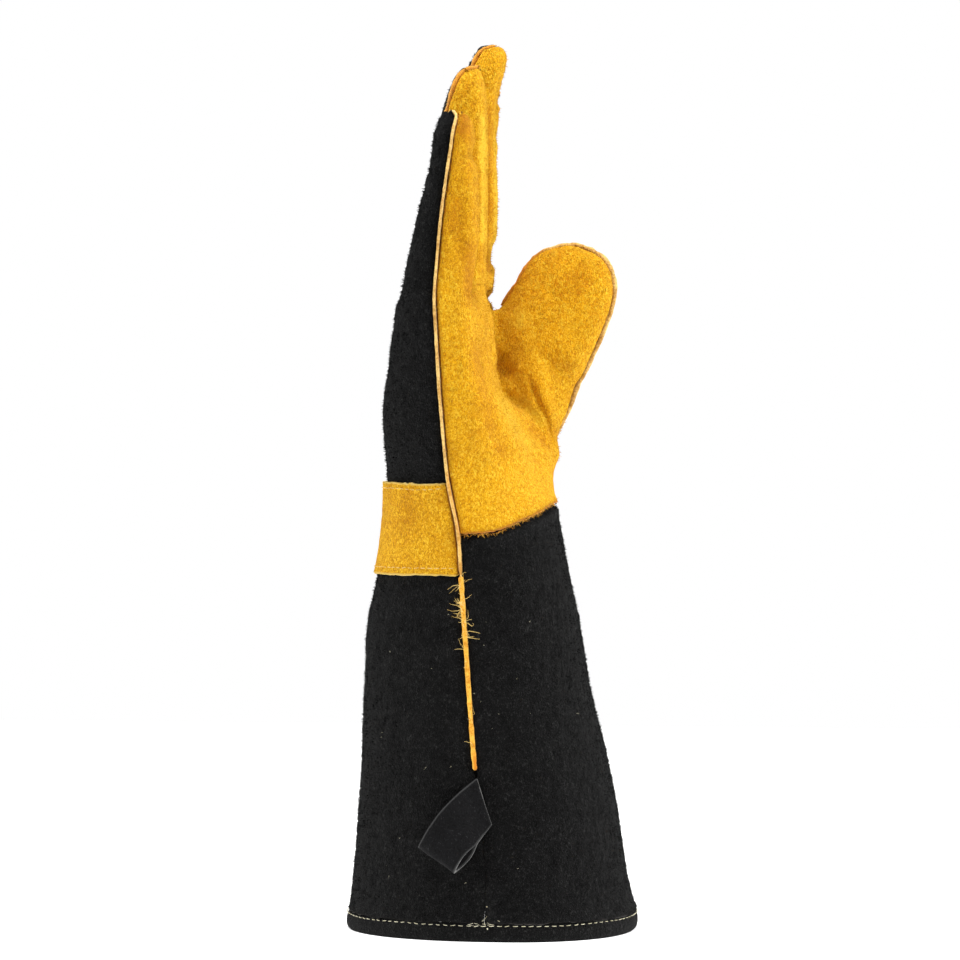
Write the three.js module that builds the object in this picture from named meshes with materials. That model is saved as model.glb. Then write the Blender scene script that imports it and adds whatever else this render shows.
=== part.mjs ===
import * as THREE from "three";

// Right-hand barbecue glove that stands on its cuff. Millimetres, +Z up the fingers, +X out of the palm,
// +Y to the thumb side.

// Leather
const PANEL_THICK = 1.9;
const CUFF_THICK = 1.8;
const BAND_THICK = 1.6;
const PIECE_GAP = 0.35;
const PLAIN_SEAM_GAP = 0.6;
const WELT_SEAM_GAP = 2.1;
const TIP_SEAM_GAP = 2.9;

// Seam strips
const WELT_WIDE = 1.35;
const WELT_PROUD = 1.25;
const WELT_DEEP = 1.3;

// Cuff
const HEM_HIGH = 7.6;
const HEM_PROUD = 0.9;
const HEM_THICK = 3.9;
const BAND_LOW = 162;
const BAND_TOP = 205;
const PIPING_LOW = 76;

// Where the cuff goes on under the palm: how far it laps, and the lip below the palm's edge. The hand's curves
// start at the last height.
const LAP_HIGH = 6;
const LIP_DROP = 2.4;
const LIP_PROUD = 1.1;
const UNDER_SEAM = 140;

const SECTION_POWER = 2.25;

// Hang loop: its corners in side view as x and z, two at the seam and two at the fold.
const LOOP = { seamTop: [0.6, 72.6], seamLow: [7.6, 52], foldTop: [-24.4, 42.4], foldLow: [-7.8, 31.6] };
const LOOP_STRAP_THICK = 1.7;
const LOOP_EYE = 7.4;
const LOOP_CLEAR = 0.8;
const LOOP_ACROSS = [0, 0.33, 0.67, 1];

// Cuff sections: the back-most and palm-most x, half the width across, and where the two side seams lie.
const CUFF = [
  { z: 0, back: -66.8, front: 67, side: 58, ulnar: 6.2, radial: 2 },
  { z: 8, back: -65.6, front: 66, side: 57.5, ulnar: 6, radial: 1.5 },
  { z: 24, back: -63.7, front: 61.6, side: 56.6, ulnar: 5.4, radial: 0.5 },
  { z: 45, back: -61.6, front: 58.8, side: 55.4, ulnar: 3.6, radial: -1.5 },
  { z: 67, back: -60, front: 55.1, side: 53.8, ulnar: 0.6, radial: -3.5 },
  { z: 95, back: -59.2, front: 48.4, side: 51.6, ulnar: -2.2, radial: -6 },
  { z: 130, back: -57.2, front: 41.2, side: 48.6, ulnar: -5.1, radial: -9.5 },
  { z: 150, back: -55.4, front: 38, side: 46.8, ulnar: -6.8, radial: -13 },
  { z: 162, back: -51.8, front: 35.4, side: 45.6, ulnar: -7.8, radial: -16 },
  { z: 182, back: -49, front: 30.1, side: 44.2, ulnar: -9.4, radial: -20 },
  { z: 205, back: -47.6, front: 27.8, side: 43.8, ulnar: -13, radial: -24 },
];

// The named lines that run up the glove, in order round it from the little-finger seam over the palm and the
// thumb to the thumb-side seam and back. Columns: how many mesh columns follow the line, its turn round the
// section in degrees at the hem and at the wrist, and the height of the panels' lower edge on it.
const LINES = [
  { line: "ulnar", columns: 2, hemTurn: 0, wristTurn: 0, edge: 180 },
  { line: "heel", columns: 2, hemTurn: 18, wristTurn: 22, edge: 181 },
  { line: "little", columns: 4, hemTurn: 36, wristTurn: 46, edge: 187 },
  { line: "centre", columns: 4, hemTurn: 64, wristTurn: 80, edge: 194 },
  { line: "valley", columns: 3, hemTurn: 90, wristTurn: 103, edge: 196 },
  { line: "near", columns: 3, hemTurn: 108, wristTurn: 118, edge: 197 },
  { line: "thumb", columns: 3, hemTurn: 126, wristTurn: 132, edge: 198 },
  { line: "far", columns: 3, hemTurn: 144, wristTurn: 147, edge: 199 },
  { line: "web", columns: 3, hemTurn: 162, wristTurn: 163, edge: 199 },
  { line: "radial", columns: 2, hemTurn: 180, wristTurn: 180, edge: 197 },
  { line: "backIndex", columns: 4, hemTurn: 212, wristTurn: 216, edge: 189 },
  { line: "backMiddle", columns: 4, hemTurn: 270, wristTurn: 270, edge: 184 },
  { line: "backLittle", columns: 2, hemTurn: 328, wristTurn: 324, edge: 181 },
];

// Hand sections above the panels' lower edge: where each named line passes, as x, y, z.
const HAND = [
  {
    level: 1,
    ulnar: [-13.8, -45.6, 205],
    heel: [4, -40.8, 212],
    little: [14.6, -29.4, 214],
    centre: [21, -3, 214],
    valley: [26.8, 13, 215],
    near: [28.4, 22, 214],
    thumb: [22, 35.5, 212],
    far: [12, 43.5, 212],
    web: [-4, 47.5, 212],
    radial: [-24.4, 45.6, 207],
    backIndex: [-41, 32, 205],
    backMiddle: [-47.4, 1, 205],
    backLittle: [-39, -33, 205],
  },
  {
    level: 2,
    ulnar: [-16, -50.4, 235],
    heel: [1.8, -46.6, 236],
    little: [8, -37, 236],
    centre: [9, -2, 235],
    valley: [15, 14.6, 236],
    near: [25.6, 17, 232],
    thumb: [27.4, 30.5, 226],
    far: [21, 42, 230],
    web: [2, 50, 237],
    radial: [-27, 50.4, 236],
    backIndex: [-41, 36, 236],
    backMiddle: [-47.8, 1, 236],
    backLittle: [-40, -38, 236],
  },
  {
    level: 3,
    ulnar: [-17.2, -53.4, 259],
    heel: [-3, -50, 260],
    little: [0.5, -37, 259],
    centre: [2, -3, 260],
    valley: [2.2, 16.4, 248],
    near: [20.5, 14.6, 246],
    thumb: [32.2, 29, 237],
    far: [21, 43.2, 247],
    web: [-2, 51, 260],
    radial: [-29.5, 52, 260],
    backIndex: [-38.6, 38, 260],
    backMiddle: [-43.8, 1, 260],
    backLittle: [-37.2, -41, 260],
  },
  {
    level: 4,
    ulnar: [-18.4, -55, 284],
    heel: [-5.4, -51, 284],
    little: [-0.8, -36, 282],
    centre: [-0.8, 0, 284],
    valley: [-3, 18.5, 284],
    near: [17.4, 15.8, 266],
    thumb: [36, 29.4, 249],
    far: [17.4, 43.4, 266],
    web: [-7, 50.2, 284],
    radial: [-30.5, 52.4, 285],
    backIndex: [-36.8, 38, 284],
    backMiddle: [-41, 0.5, 284],
    backLittle: [-35.4, -42, 283],
  },
];

// Fingers: each row is a section, with its height, the x of its back and of its palm side, its middle in y
// and half its width. The last row is the ring under the rounded tip.
const LITTLE = [
  { z: 290, back: -36, front: -3, mid: -41.8, half: 12.9, seam: -18.3 },
  { z: 317, back: -30.2, front: -0.4, mid: -42.6, half: 12.6, seam: -16 },
  { z: 345, back: -22.6, front: -1, mid: -43.6, half: 12, seam: -12.2 },
  { z: 358, back: -19.9, front: -2, mid: -44.1, half: 11.2, seam: -10.2 },
  { z: 364, back: -18.2, front: -3, mid: -44.3, half: 9.8, seam: -9.4 },
  { z: 367.4, back: -16.6, front: -4.6, mid: -44.4, half: 7.2, seam: -9 },
];
const RING = [
  { z: 294, back: -39.4, front: -0.8, mid: -14.1, half: 12.9 },
  { z: 330, back: -30.4, front: -0.4, mid: -14.5, half: 12.5 },
  { z: 365, back: -21.7, front: -0.6, mid: -15, half: 12 },
  { z: 379, back: -18, front: -0.8, mid: -15.2, half: 11.3 },
  { z: 387, back: -15, front: -1.6, mid: -15.3, half: 9.8 },
  { z: 390.6, back: -12.4, front: -3, mid: -15.4, half: 7.4 },
];
const MIDDLE = [
  { z: 296, back: -40.2, front: -2.6, mid: 13.7, half: 12.9 },
  { z: 335, back: -29.6, front: 0.4, mid: 14.2, half: 12.5 },
  { z: 375, back: -18, front: -0.6, mid: 14.8, half: 12 },
  { z: 391, back: -14, front: 2.4, mid: 15, half: 11.2 },
  { z: 399, back: -11.6, front: 4.6, mid: 15.1, half: 9.8 },
  { z: 403.6, back: -8.8, front: 4.2, mid: 15.2, half: 7.4 },
];
const INDEX = [
  { z: 296, back: -38, front: -5.4, mid: 40.9, half: 12.7 },
  { z: 330, back: -29, front: -3.6, mid: 41.4, half: 12.4 },
  { z: 362, back: -20.6, front: -4, mid: 42, half: 11.8 },
  { z: 375, back: -16.6, front: -1.8, mid: 42.3, half: 11.2 },
  { z: 384, back: -13.2, front: -2.8, mid: 42.4, half: 9.6 },
  { z: 387.6, back: -10.8, front: -4.4, mid: 42.5, half: 7.2 },
];

// Turns round a finger's section in degrees, 0 at the palm side and 90 at the thumb side.
const WALL_TURNS = [-135, -105, -75];
const FRONT_TURNS = [-45, -22, 0, 22];
const FAR_WALL_TURNS = [45, 75, 105];
const BACK_TURNS = [135, 165, 195];
const LITTLE_FRONT_TURNS = ["seam", -60, -26, 10];
const LITTLE_BACK_TURNS = [135, 178, 222];
const FINGER_POWER = 2.35;
const FINGER_ROWS = [0.07, 0.18, 0.31, 0.45, 0.59, 0.72, 0.83, 0.92, 1];
const TIP_RISE = 2.9;
const TIP_FORWARD = 5.5;

// Forks between neighbouring fingers: the palm end and the back end of the saddle line.
const FORKS = [
  { y: -28, palmX: -5.6, palmZ: 293, backX: -31.6, backZ: 296 },
  { y: -0.2, palmX: -4.6, palmZ: 299, backX: -32.6, backZ: 300 },
  { y: 27.4, palmX: -6.4, palmZ: 297, backX: -31.8, backZ: 298 },
];

// Thumb sections above its fork: x and z of the edge by the index finger and of the outer edge, the middle
// in y and half the thickness.
const THUMB = [
  { row: 0, innerX: -2.2, innerZ: 282.6, outerX: 36, outerZ: 249, mid: 29.6, half: 13.4 },
  { row: 1, innerX: 3.4, innerZ: 290.4, outerX: 42, outerZ: 261, mid: 30.4, half: 13 },
  { row: 2, innerX: 7.6, innerZ: 297, outerX: 47.4, outerZ: 272.6, mid: 31.2, half: 12.6 },
  { row: 3, innerX: 12, innerZ: 304.4, outerX: 51.8, outerZ: 284, mid: 31.8, half: 12 },
  { row: 4, innerX: 17.6, innerZ: 310.6, outerX: 53.4, outerZ: 293.6, mid: 32.2, half: 10.8 },
  { row: 5, innerX: 24.8, innerZ: 313.8, outerX: 52, outerZ: 301.4, mid: 32.5, half: 8.8 },
  { row: 6, innerX: 32, innerZ: 314.8, outerX: 48.4, outerZ: 307.2, mid: 32.6, half: 6 },
];
const THUMB_NEAR_TURNS = [150, 132, 112, 92, 62, 32];
const THUMB_WEB_TURNS = [-163, 180, 163];
const THUMB_POWER = 2.5;
const THUMB_TIP_RISE = 1.6;
const THUMB_FORK_DIP = 1.6;

// Creases pressed into the near side of the thumb's root and the palm: ends of each in side view, depth,
// half width, and how far in y it reaches.
const CREASES = [
  { x0: 0.5, z0: 268, x1: 8, z1: 249, deep: 2.2, wide: 4.4, yLow: 10, yHigh: 26 },
  { x0: -1, z0: 258, x1: 26, z1: 222, deep: 1.4, wide: 3.2, yLow: 6, yHigh: 26 },
  { x0: 13, z0: 253, x1: 25, z1: 229, deep: 1.6, wide: 3.2, yLow: 2, yHigh: 26 },
];

const COLOURS = {
  yellow: 0xd9981a,
  black: 0x161616,
  cream: 0xd8bb7c,
  gold: 0xd08f22,
  charcoal: 0x2a2a2c,
};

const mix = (a, b, t) => a + (b - a) * t;
const mixPoint = (p, q, t) => p.map((v, i) => mix(v, q[i], t));
const add = (p, q, k = 1) => p.map((v, i) => v + q[i] * k);
const minus = (p, q) => p.map((v, i) => v - q[i]);
const dot = (p, q) => p[0] * q[0] + p[1] * q[1] + p[2] * q[2];
const cross = (p, q) => [
  p[1] * q[2] - p[2] * q[1],
  p[2] * q[0] - p[0] * q[2],
  p[0] * q[1] - p[1] * q[0],
];
const unit = (p) => {
  const size = Math.hypot(...p);
  return size > 1e-9 ? p.map((v) => v / size) : [0, 0, 1];
};
const ease = (t) => {
  const s = Math.min(1, Math.max(0, t));
  return s * s * (3 - 2 * s);
};
const power = (v, n) => Math.sign(v) * Math.abs(v) ** (2 / n);
const turned = (degrees) => (degrees * Math.PI) / 180;

// Smooth value between knots, with slopes from the neighbours on each side.
function along(knots, values, at) {
  const last = knots.length - 1;
  const t = Math.min(knots[last], Math.max(knots[0], at));
  let i = 0;
  while (i < last - 1 && t > knots[i + 1]) i += 1;
  const slope = (k) => {
    const low = Math.max(0, k - 1);
    const high = Math.min(last, k + 1);
    if (k === 0 || k === last) return (values[high] - values[low]) / (knots[high] - knots[low]);
    const before = knots[k] - knots[k - 1];
    const after = knots[k + 1] - knots[k];
    const rise = (values[k + 1] - values[k]) / after;
    const fall = (values[k] - values[k - 1]) / before;
    return (rise * before + fall * after) / (before + after);
  };
  const span = knots[i + 1] - knots[i];
  const s = (t - knots[i]) / span;
  const keep = 1 + s * s * (2 * s - 3);
  const bendIn = s * (1 - s) * (1 - s) * span;
  const bendOut = s * s * (s - 1) * span;
  return keep * values[i] + (1 - keep) * values[i + 1] + bendIn * slope(i) + bendOut * slope(i + 1);
}

const tabled = (table, key, at, column) =>
  along(
    table.map((row) => row[key]),
    table.map((row) => row[column]),
    at,
  );

// Closed smooth curve through points, each followed by its own number of steps.
function closedCurve(points, steps) {
  const count = points.length;
  const gap = points.map((p, i) => Math.hypot(...minus(points[(i + 1) % count], p)));
  const slope = points.map((p, i) => {
    const before = gap[(i + count - 1) % count];
    const after = gap[i];
    const rise = minus(points[(i + 1) % count], p).map((v) => v / after);
    const fall = minus(p, points[(i + count - 1) % count]).map((v) => v / before);
    return rise.map((v, k) => (v * before + fall[k] * after) / (before + after));
  });
  return points.flatMap((p, i) => {
    const q = points[(i + 1) % count];
    const far = slope[(i + 1) % count];
    return Array.from({ length: steps[i] }, (_, k) => {
      const s = k / steps[i];
      const keep = 1 + s * s * (2 * s - 3);
      const bendIn = s * (1 - s) * (1 - s) * gap[i];
      const bendOut = s * s * (s - 1) * gap[i];
      return p.map((v, c) => keep * v + (1 - keep) * q[c] + bendIn * slope[i][c] + bendOut * far[c]);
    });
  });
}

// A point of the cuff's section: turn 0 is the little-finger seam, 90 the palm side, 180 the other seam.
function cuffPoint(turn, z) {
  const at = Math.min(BAND_TOP, z);
  const size = Object.fromEntries(
    ["back", "front", "side", "ulnar", "radial"].map((c) => [c, tabled(CUFF, "z", at, c)]),
  );
  const across = -power(Math.cos(turned(turn)), SECTION_POWER);
  const out = power(Math.sin(turned(turn)), SECTION_POWER);
  const seam = mix(size.ulnar, size.radial, (across + 1) / 2);
  const reach = out > 0 ? size.front - seam : seam - size.back;
  return [seam + out * reach, across * size.side, z];
}

// Where a named line passes at a level: below 0 the level is a height, 0 is the panels' lower edge.
const LEVEL_BAND = -1;
const LEVEL_BELOW = -2;
function linePoint(row, level) {
  const wrist = (z) => {
    const turn = mix(row.hemTurn, row.wristTurn, ease(z / BAND_LOW));
    return cuffPoint(turn, z);
  };
  const knots = [LEVEL_BELOW, LEVEL_BAND, 0, ...HAND.map((h) => h.level)];
  const points = [wrist(UNDER_SEAM), wrist(BAND_LOW), wrist(row.edge), ...HAND.map((h) => h[row.line])];
  return [0, 1, 2].map((c) =>
    along(
      knots,
      points.map((p) => p[c]),
      level,
    ),
  );
}

const STEPS = LINES.map((row) => row.columns);
const ringAtHeight = (z) => {
  const turns = LINES.flatMap((row, i) => {
    const next = LINES[(i + 1) % LINES.length];
    const low = mix(row.hemTurn, row.wristTurn, ease(z / BAND_LOW));
    const high = mix(next.hemTurn, next.wristTurn, ease(z / BAND_LOW)) + (i === LINES.length - 1 ? 360 : 0);
    return Array.from({ length: row.columns }, (_, k) => mix(low, high, k / row.columns));
  });
  return turns.map((turn) => cuffPoint(turn, z));
};
const ringAtEdge = (rise) => {
  const turns = LINES.flatMap((row, i) => {
    const next = LINES[(i + 1) % LINES.length];
    const high = next.wristTurn + (i === LINES.length - 1 ? 360 : 0);
    return Array.from({ length: row.columns }, (_, k) => {
      const t = k / row.columns;
      return [mix(row.wristTurn, high, t), mix(row.edge, next.edge, t)];
    });
  });
  return turns.map(([turn, z]) => cuffPoint(turn, z + rise));
};
const ringAtLevel = (level) =>
  closedCurve(
    LINES.map((row) => linePoint(row, level)),
    STEPS,
  );

// The turn at which a section's side passes a given x.
function turnAt(table, z, column) {
  const back = tabled(table, "z", z, "back");
  const front = tabled(table, "z", z, "front");
  const share = (2 * tabled(table, "z", z, column) - back - front) / (front - back);
  return (-Math.acos(Math.sign(share) * Math.abs(share) ** (FINGER_POWER / 2)) * 180) / Math.PI;
}

// A point on a finger's section.
function fingerPoint(table, turnOrSeam, z) {
  const turn = turnOrSeam === "seam" ? turnAt(table, z, "seam") : turnOrSeam;
  const size = Object.fromEntries(
    ["back", "front", "mid", "half"].map((c) => [c, tabled(table, "z", z, c)]),
  );
  const middle = (size.back + size.front) / 2;
  const reach = (size.front - size.back) / 2;
  return [
    middle + reach * power(Math.cos(turned(turn)), FINGER_POWER),
    size.mid + size.half * power(Math.sin(turned(turn)), FINGER_POWER),
    z,
  ];
}

// A point on the thumb's section: turn 0 is the outer edge, 90 the near side, 180 the edge by the index.
function thumbPoint(turn, row) {
  const size = Object.fromEntries(
    ["innerX", "innerZ", "outerX", "outerZ", "mid", "half"].map((c) => [c, tabled(THUMB, "row", row, c)]),
  );
  const out = power(Math.cos(turned(turn)), THUMB_POWER);
  const near = power(Math.sin(turned(turn)), THUMB_POWER);
  return [
    mix(size.innerX, size.outerX, (out + 1) / 2),
    size.mid - size.half * near,
    mix(size.innerZ, size.outerZ, (out + 1) / 2),
  ];
}

// The whole outer skin of the glove, sewn as one net of points. Each face remembers its piece.
const skin = { points: [], faces: [], normals: [], fixed: new Map() };
const place = (p) => skin.points.push(p) - 1;
const placeAll = (ring) => ring.map(place);
function weave(lower, upper, pieceOf) {
  for (let c = 0; c + 1 < lower.length; c += 1) {
    const corners = [lower[c], lower[c + 1], upper[c + 1], upper[c]];
    const face = corners.filter((v, i) => corners.indexOf(v) === i);
    if (face.length > 2) skin.faces.push({ face, piece: pieceOf(c) });
  }
}
const close = (ring) => [...ring, ring[0]];

// Mesh columns of the named lines.
const COLUMN = {};
LINES.reduce((at, row) => {
  COLUMN[row.line] = at;
  return at + row.columns;
}, 0);
const AROUND = STEPS.reduce((a, b) => a + b, 0);
const onPalmSide = (c) => c < COLUMN.radial;
const CUFF_ROWS = [8, 24, 40, 58, PIPING_LOW, 100, 122, 143, BAND_LOW];
const HAND_ROWS = [1, 1.34, 1.67, 2, 2.34, 2.67, 3, 3.34, 3.67, 4];

// Cuff from above the hem up to the panels' lower edge.
const cuffRings = [...CUFF_ROWS.map(ringAtHeight), ringAtEdge(0)].map(placeAll);
cuffRings.slice(1).forEach((ring, i) => {
  weave(close(cuffRings[i]), close(ring), (c) => (onPalmSide(c) ? "cuff_palm" : "cuff_back"));
});
const edgeRing = cuffRings[cuffRings.length - 1];

// Hand up to the thumb's fork.
const handRings = [edgeRing, ...HAND_ROWS.map((level) => placeAll(ringAtLevel(level)))];
const handPiece = (c) => {
  if (c < COLUMN.thumb) return "palm_panel";
  return c < COLUMN.radial ? "thumb_back" : "back_panel";
};
handRings.slice(1).forEach((ring, i) => weave(close(handRings[i]), close(ring), handPiece));
const forkRing = handRings[handRings.length - 1];

// The thumb's saddle line runs from the valley across to the web.
const SADDLE_STEPS = 4;
const saddleEnds = [forkRing[COLUMN.valley], forkRing[COLUMN.web]];
const saddle = Array.from({ length: SADDLE_STEPS + 1 }, (_, k) => {
  if (k === 0 || k === SADDLE_STEPS) return saddleEnds[k / SADDLE_STEPS];
  const t = k / SADDLE_STEPS;
  const p = mixPoint(skin.points[saddleEnds[0]], skin.points[saddleEnds[1]], t);
  return place(add(p, [1.2 * Math.sin(Math.PI * t), 0, -THUMB_FORK_DIP * Math.sin(Math.PI * t)]));
});

// Finger bases: fronts and backs of the four sections, joined at the forks.
const forkPoint = (fork, t) =>
  mixPoint([fork.palmX, fork.y, fork.palmZ], [fork.backX, fork.y, fork.backZ], t);
const FORK_STEPS = 3;
const forkLines = FORKS.map((fork) =>
  placeAll(Array.from({ length: FORK_STEPS + 1 }, (_, k) => forkPoint(fork, k / FORK_STEPS))),
);
const FINGERS = [
  { name: "little", table: LITTLE, piece: "palm_panel" },
  { name: "ring", table: RING, piece: "ring_finger_front" },
  { name: "middle", table: MIDDLE, piece: "middle_finger_front" },
  { name: "index", table: INDEX, piece: "palm_panel" },
];
const baseHeight = (finger) => finger.table[0].z;
const baseRow = (finger, turns) =>
  placeAll(turns.map((turn) => fingerPoint(finger.table, turn, baseHeight(finger))));
const littleFront = baseRow(FINGERS[0], LITTLE_FRONT_TURNS);
const fronts = FINGERS.slice(1).map((finger) => baseRow(finger, FRONT_TURNS.slice(1)));
const indexWall = baseRow(FINGERS[3], [...FAR_WALL_TURNS, BACK_TURNS[0]]);
const backs = FINGERS.map((finger, i) =>
  baseRow(finger, (i === 0 ? LITTLE_BACK_TURNS : BACK_TURNS).slice(1)),
);
const handTop = [
  ...littleFront,
  forkLines[0][0],
  ...fronts[0],
  forkLines[1][0],
  ...fronts[1],
  forkLines[2][0],
  ...fronts[2],
  ...indexWall,
  ...backs[3],
  forkLines[2][FORK_STEPS],
  ...backs[2],
  forkLines[1][FORK_STEPS],
  ...backs[1],
  forkLines[0][FORK_STEPS],
  ...backs[0],
];
const handLow = [
  ...forkRing.slice(0, COLUMN.valley),
  ...saddle,
  ...forkRing.slice(COLUMN.web + 1),
];
const handUnder = handRings[handRings.length - 2];
const handMiddle = placeAll(
  handLow.map((v, c) => {
    const straight = mixPoint(skin.points[v], skin.points[handTop[c]], 0.5);
    const column = forkRing.indexOf(v);
    if (column < 0) return straight;
    const under = skin.points[handUnder[column]];
    const lean = minus(skin.points[v], under);
    const rise = minus(skin.points[handTop[c]], skin.points[v]);
    return straight.map((s, k) => s + (lean[k] - rise[k]) / 16);
  }),
);
const SADDLE_END = COLUMN.valley + SADDLE_STEPS;
const HAND_TURN = handLow.length;
const topPiece = (c) => {
  const seam = SADDLE_END + LINES.find((row) => row.line === "web").columns;
  return c < seam ? "palm_panel" : "back_panel";
};
weave(close(handLow), close(handMiddle), topPiece);
weave(close(handMiddle), close(handTop), topPiece);

// One tube with a rounded end: rings of columns, then both halves closed on a seam over the tip.
const seamTops = [];
function tube(base, rings, halves, axis, rise, forward, backPiece) {
  const all = [base, ...rings.map(placeAll)];
  all.slice(1).forEach((ring, i) => {
    weave(close(all[i]), close(ring), (c) => (c >= halves.from && c < halves.to ? halves.piece : backPiece));
  });
  const last = all[all.length - 1];
  const count = last.length;
  const frontCount = halves.to - halves.from;
  const start = skin.points[last[halves.from]];
  const end = skin.points[last[halves.to % count]];
  const sideways = unit(minus(end, start));
  const top = Array.from({ length: frontCount + 1 }, (_, k) => {
    if (k === 0) return last[halves.from];
    if (k === frontCount) return last[halves.to % count];
    const t = k / frontCount;
    const arch = Math.sin(Math.PI * t);
    const v = place(add(add(mixPoint(start, end, t), axis, rise * arch ** 0.7), [forward * arch, 0, 0]));
    const lean = Math.PI * (0.2 + 0.6 * t);
    skin.fixed.set(v, unit(add(axis.map((a) => a * Math.sin(lean)), sideways, -Math.cos(lean))));
    return v;
  });
  const front = Array.from({ length: frontCount + 1 }, (_, k) => last[(halves.from + k) % count]);
  weave(front, top, () => halves.piece);
  const backCount = count - frontCount;
  const back = Array.from({ length: backCount + 1 }, (_, k) => last[(halves.to + k) % count]);
  const share = (k) => frontCount - Math.round((k / backCount) * frontCount);
  for (let k = 0; k < backCount; k += 1) {
    const chain = top.slice(share(k + 1), share(k) + 1).reverse();
    const middle = Math.floor(chain.length / 2);
    weave([back[k], back[k + 1]], [chain[middle], chain[middle]], () => backPiece);
    chain.slice(1).forEach((v, i) => {
      const foot = i < middle ? back[k] : back[k + 1];
      const face = [foot, v, chain[i]];
      if (new Set(face).size === 3) skin.faces.push({ face, piece: backPiece });
    });
  }
  return { all, top };
}

function fingerRings(finger, turns, rise) {
  const low = baseHeight(finger) + rise;
  const high = finger.table[finger.table.length - 1].z;
  return FINGER_ROWS.map((t) => turns.map((turn) => fingerPoint(finger.table, turn, mix(low, high, t))));
}

const UP = [0, 0, 1];
const fingerParts = FINGERS.map((finger, i) => {
  const isLittle = i === 0;
  const isIndex = i === 3;
  const wallLow = isLittle ? [] : [...forkLines[i - 1]].reverse().slice(0, FORK_STEPS);
  const front = isLittle ? littleFront : [forkLines[i - 1][0], ...fronts[i - 1]];
  const wallHigh = isIndex ? indexWall.slice(0, 3) : forkLines[i].slice(0, FORK_STEPS);
  const seamHigh = isIndex ? indexWall[3] : forkLines[i][FORK_STEPS];
  const base = [...wallLow, ...front, ...wallHigh, seamHigh, ...backs[i]];
  const turns = isLittle
    ? [...LITTLE_FRONT_TURNS, ...FAR_WALL_TURNS, ...LITTLE_BACK_TURNS]
    : [...WALL_TURNS, ...FRONT_TURNS, ...FAR_WALL_TURNS, ...BACK_TURNS];
  const frontTo = turns.indexOf(BACK_TURNS[0]);
  const made = tube(
    base,
    fingerRings(finger, turns, 3),
    { from: 0, to: frontTo, piece: finger.piece },
    UP,
    TIP_RISE,
    isLittle ? 0 : TIP_FORWARD,
    "back_panel",
  );
  return { ...made, seamLow: 0, seamHigh: frontTo };
});

// Thumb: near half with the palm, far half with the back of the thumb.
const THUMB_FAR_TURNS = THUMB_NEAR_TURNS.slice(1)
  .map((turn) => -turn)
  .reverse();
const thumbBase = [
  ...forkRing.slice(COLUMN.valley, COLUMN.web + 1),
  ...saddle.slice(1, SADDLE_STEPS).reverse(),
];
const thumbTurns = [
  ...THUMB_NEAR_TURNS,
  0,
  ...THUMB_FAR_TURNS,
  -THUMB_NEAR_TURNS[0],
  ...THUMB_WEB_TURNS,
];
const THUMB_START = thumbTurns.indexOf(180);
const rolled = (list) => [...list.slice(THUMB_START), ...list.slice(0, THUMB_START)];
const thumbRings = [0.5, 1, 1.7, 2.4, 3.1, 3.8, 4.6, 5.3, 6].map((row) =>
  rolled(thumbTurns).map((turn) => thumbPoint(turn, row)),
);
const thumbTip = THUMB[THUMB.length - 1];
const thumbLast = unit([thumbTip.outerX - thumbTip.innerX, 0, thumbTip.outerZ - thumbTip.innerZ]);
const thumbAxis = [-thumbLast[2], 0, thumbLast[0]];
const nearCount = THUMB_NEAR_TURNS.length + 2;
const thumb = tube(
  rolled(thumbBase),
  thumbRings,
  { from: 0, to: nearCount, piece: "palm_panel" },
  thumbAxis,
  THUMB_TIP_RISE,
  0,
  "thumb_back",
);

// Press the creases in.
skin.points = skin.points.map((p) => {
  let sunk = p;
  CREASES.forEach((crease) => {
    const line = [crease.x1 - crease.x0, crease.z1 - crease.z0];
    const size = Math.hypot(...line);
    const from = [p[0] - crease.x0, p[2] - crease.z0];
    const alongIt = (from[0] * line[0] + from[1] * line[1]) / (size * size);
    const off = (from[0] * line[1] - from[1] * line[0]) / size;
    const inside = p[1] > crease.yLow && p[1] < crease.yHigh ? 1 : 0;
    const fade = ease(alongIt * 3) * ease((1 - alongIt) * 3) * inside;
    sunk = add(sunk, [-0.4, 0.9, 0], crease.deep * fade * Math.exp(-((off / crease.wide) ** 2)));
  });
  return sunk;
});

// Outward normals of the sewn net.
function faceNormal(face) {
  const [a, b, c] = face.map((v) => skin.points[v]);
  const d = skin.points[face[face.length - 1]];
  return cross(minus(c, a), face.length === 4 ? minus(d, b) : minus(c, b));
}
skin.normals = skin.points.map(() => [0, 0, 0]);
skin.faces.forEach(({ face }) => {
  const n = faceNormal(face);
  face.forEach((v) => {
    skin.normals[v] = add(skin.normals[v], n);
  });
});
skin.normals = skin.normals.map((n, v) => skin.fixed.get(v) ?? unit(n));

// Seams that hold a strip of leather.
const loopTop = CUFF_ROWS.indexOf(PIPING_LOW);
const ulnarRing = cuffRings.slice(loopTop).map((ring) => ring[COLUMN.ulnar]);
const bandRow = CUFF_ROWS.indexOf(BAND_LOW);
const ulnarSeam = [
  ...cuffRings.slice(bandRow).map((ring) => ring[COLUMN.ulnar]),
  ...handRings.slice(1).map((ring) => ring[COLUMN.ulnar]),
  handMiddle[0],
  handTop[0],
];
const radialTop = SADDLE_END + LINES.find((row) => row.line === "web").columns;
const radialSeam = [
  ...handRings.map((ring) => ring[COLUMN.radial]),
  handMiddle[radialTop],
  handTop[radialTop],
];
const seamOver = fingerParts.flatMap(({ all, top, seamLow, seamHigh }, i) => {
  const up = all.slice(i === 0 ? 1 : 0).map((ring) => ring[seamLow]);
  const down = all
    .slice(1)
    .map((ring) => ring[seamHigh])
    .reverse();
  return [...up, ...top.slice(1, -1), ...down];
});
const handSeam = [...ulnarSeam, ...seamOver, ...[...radialSeam].reverse()];
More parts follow.
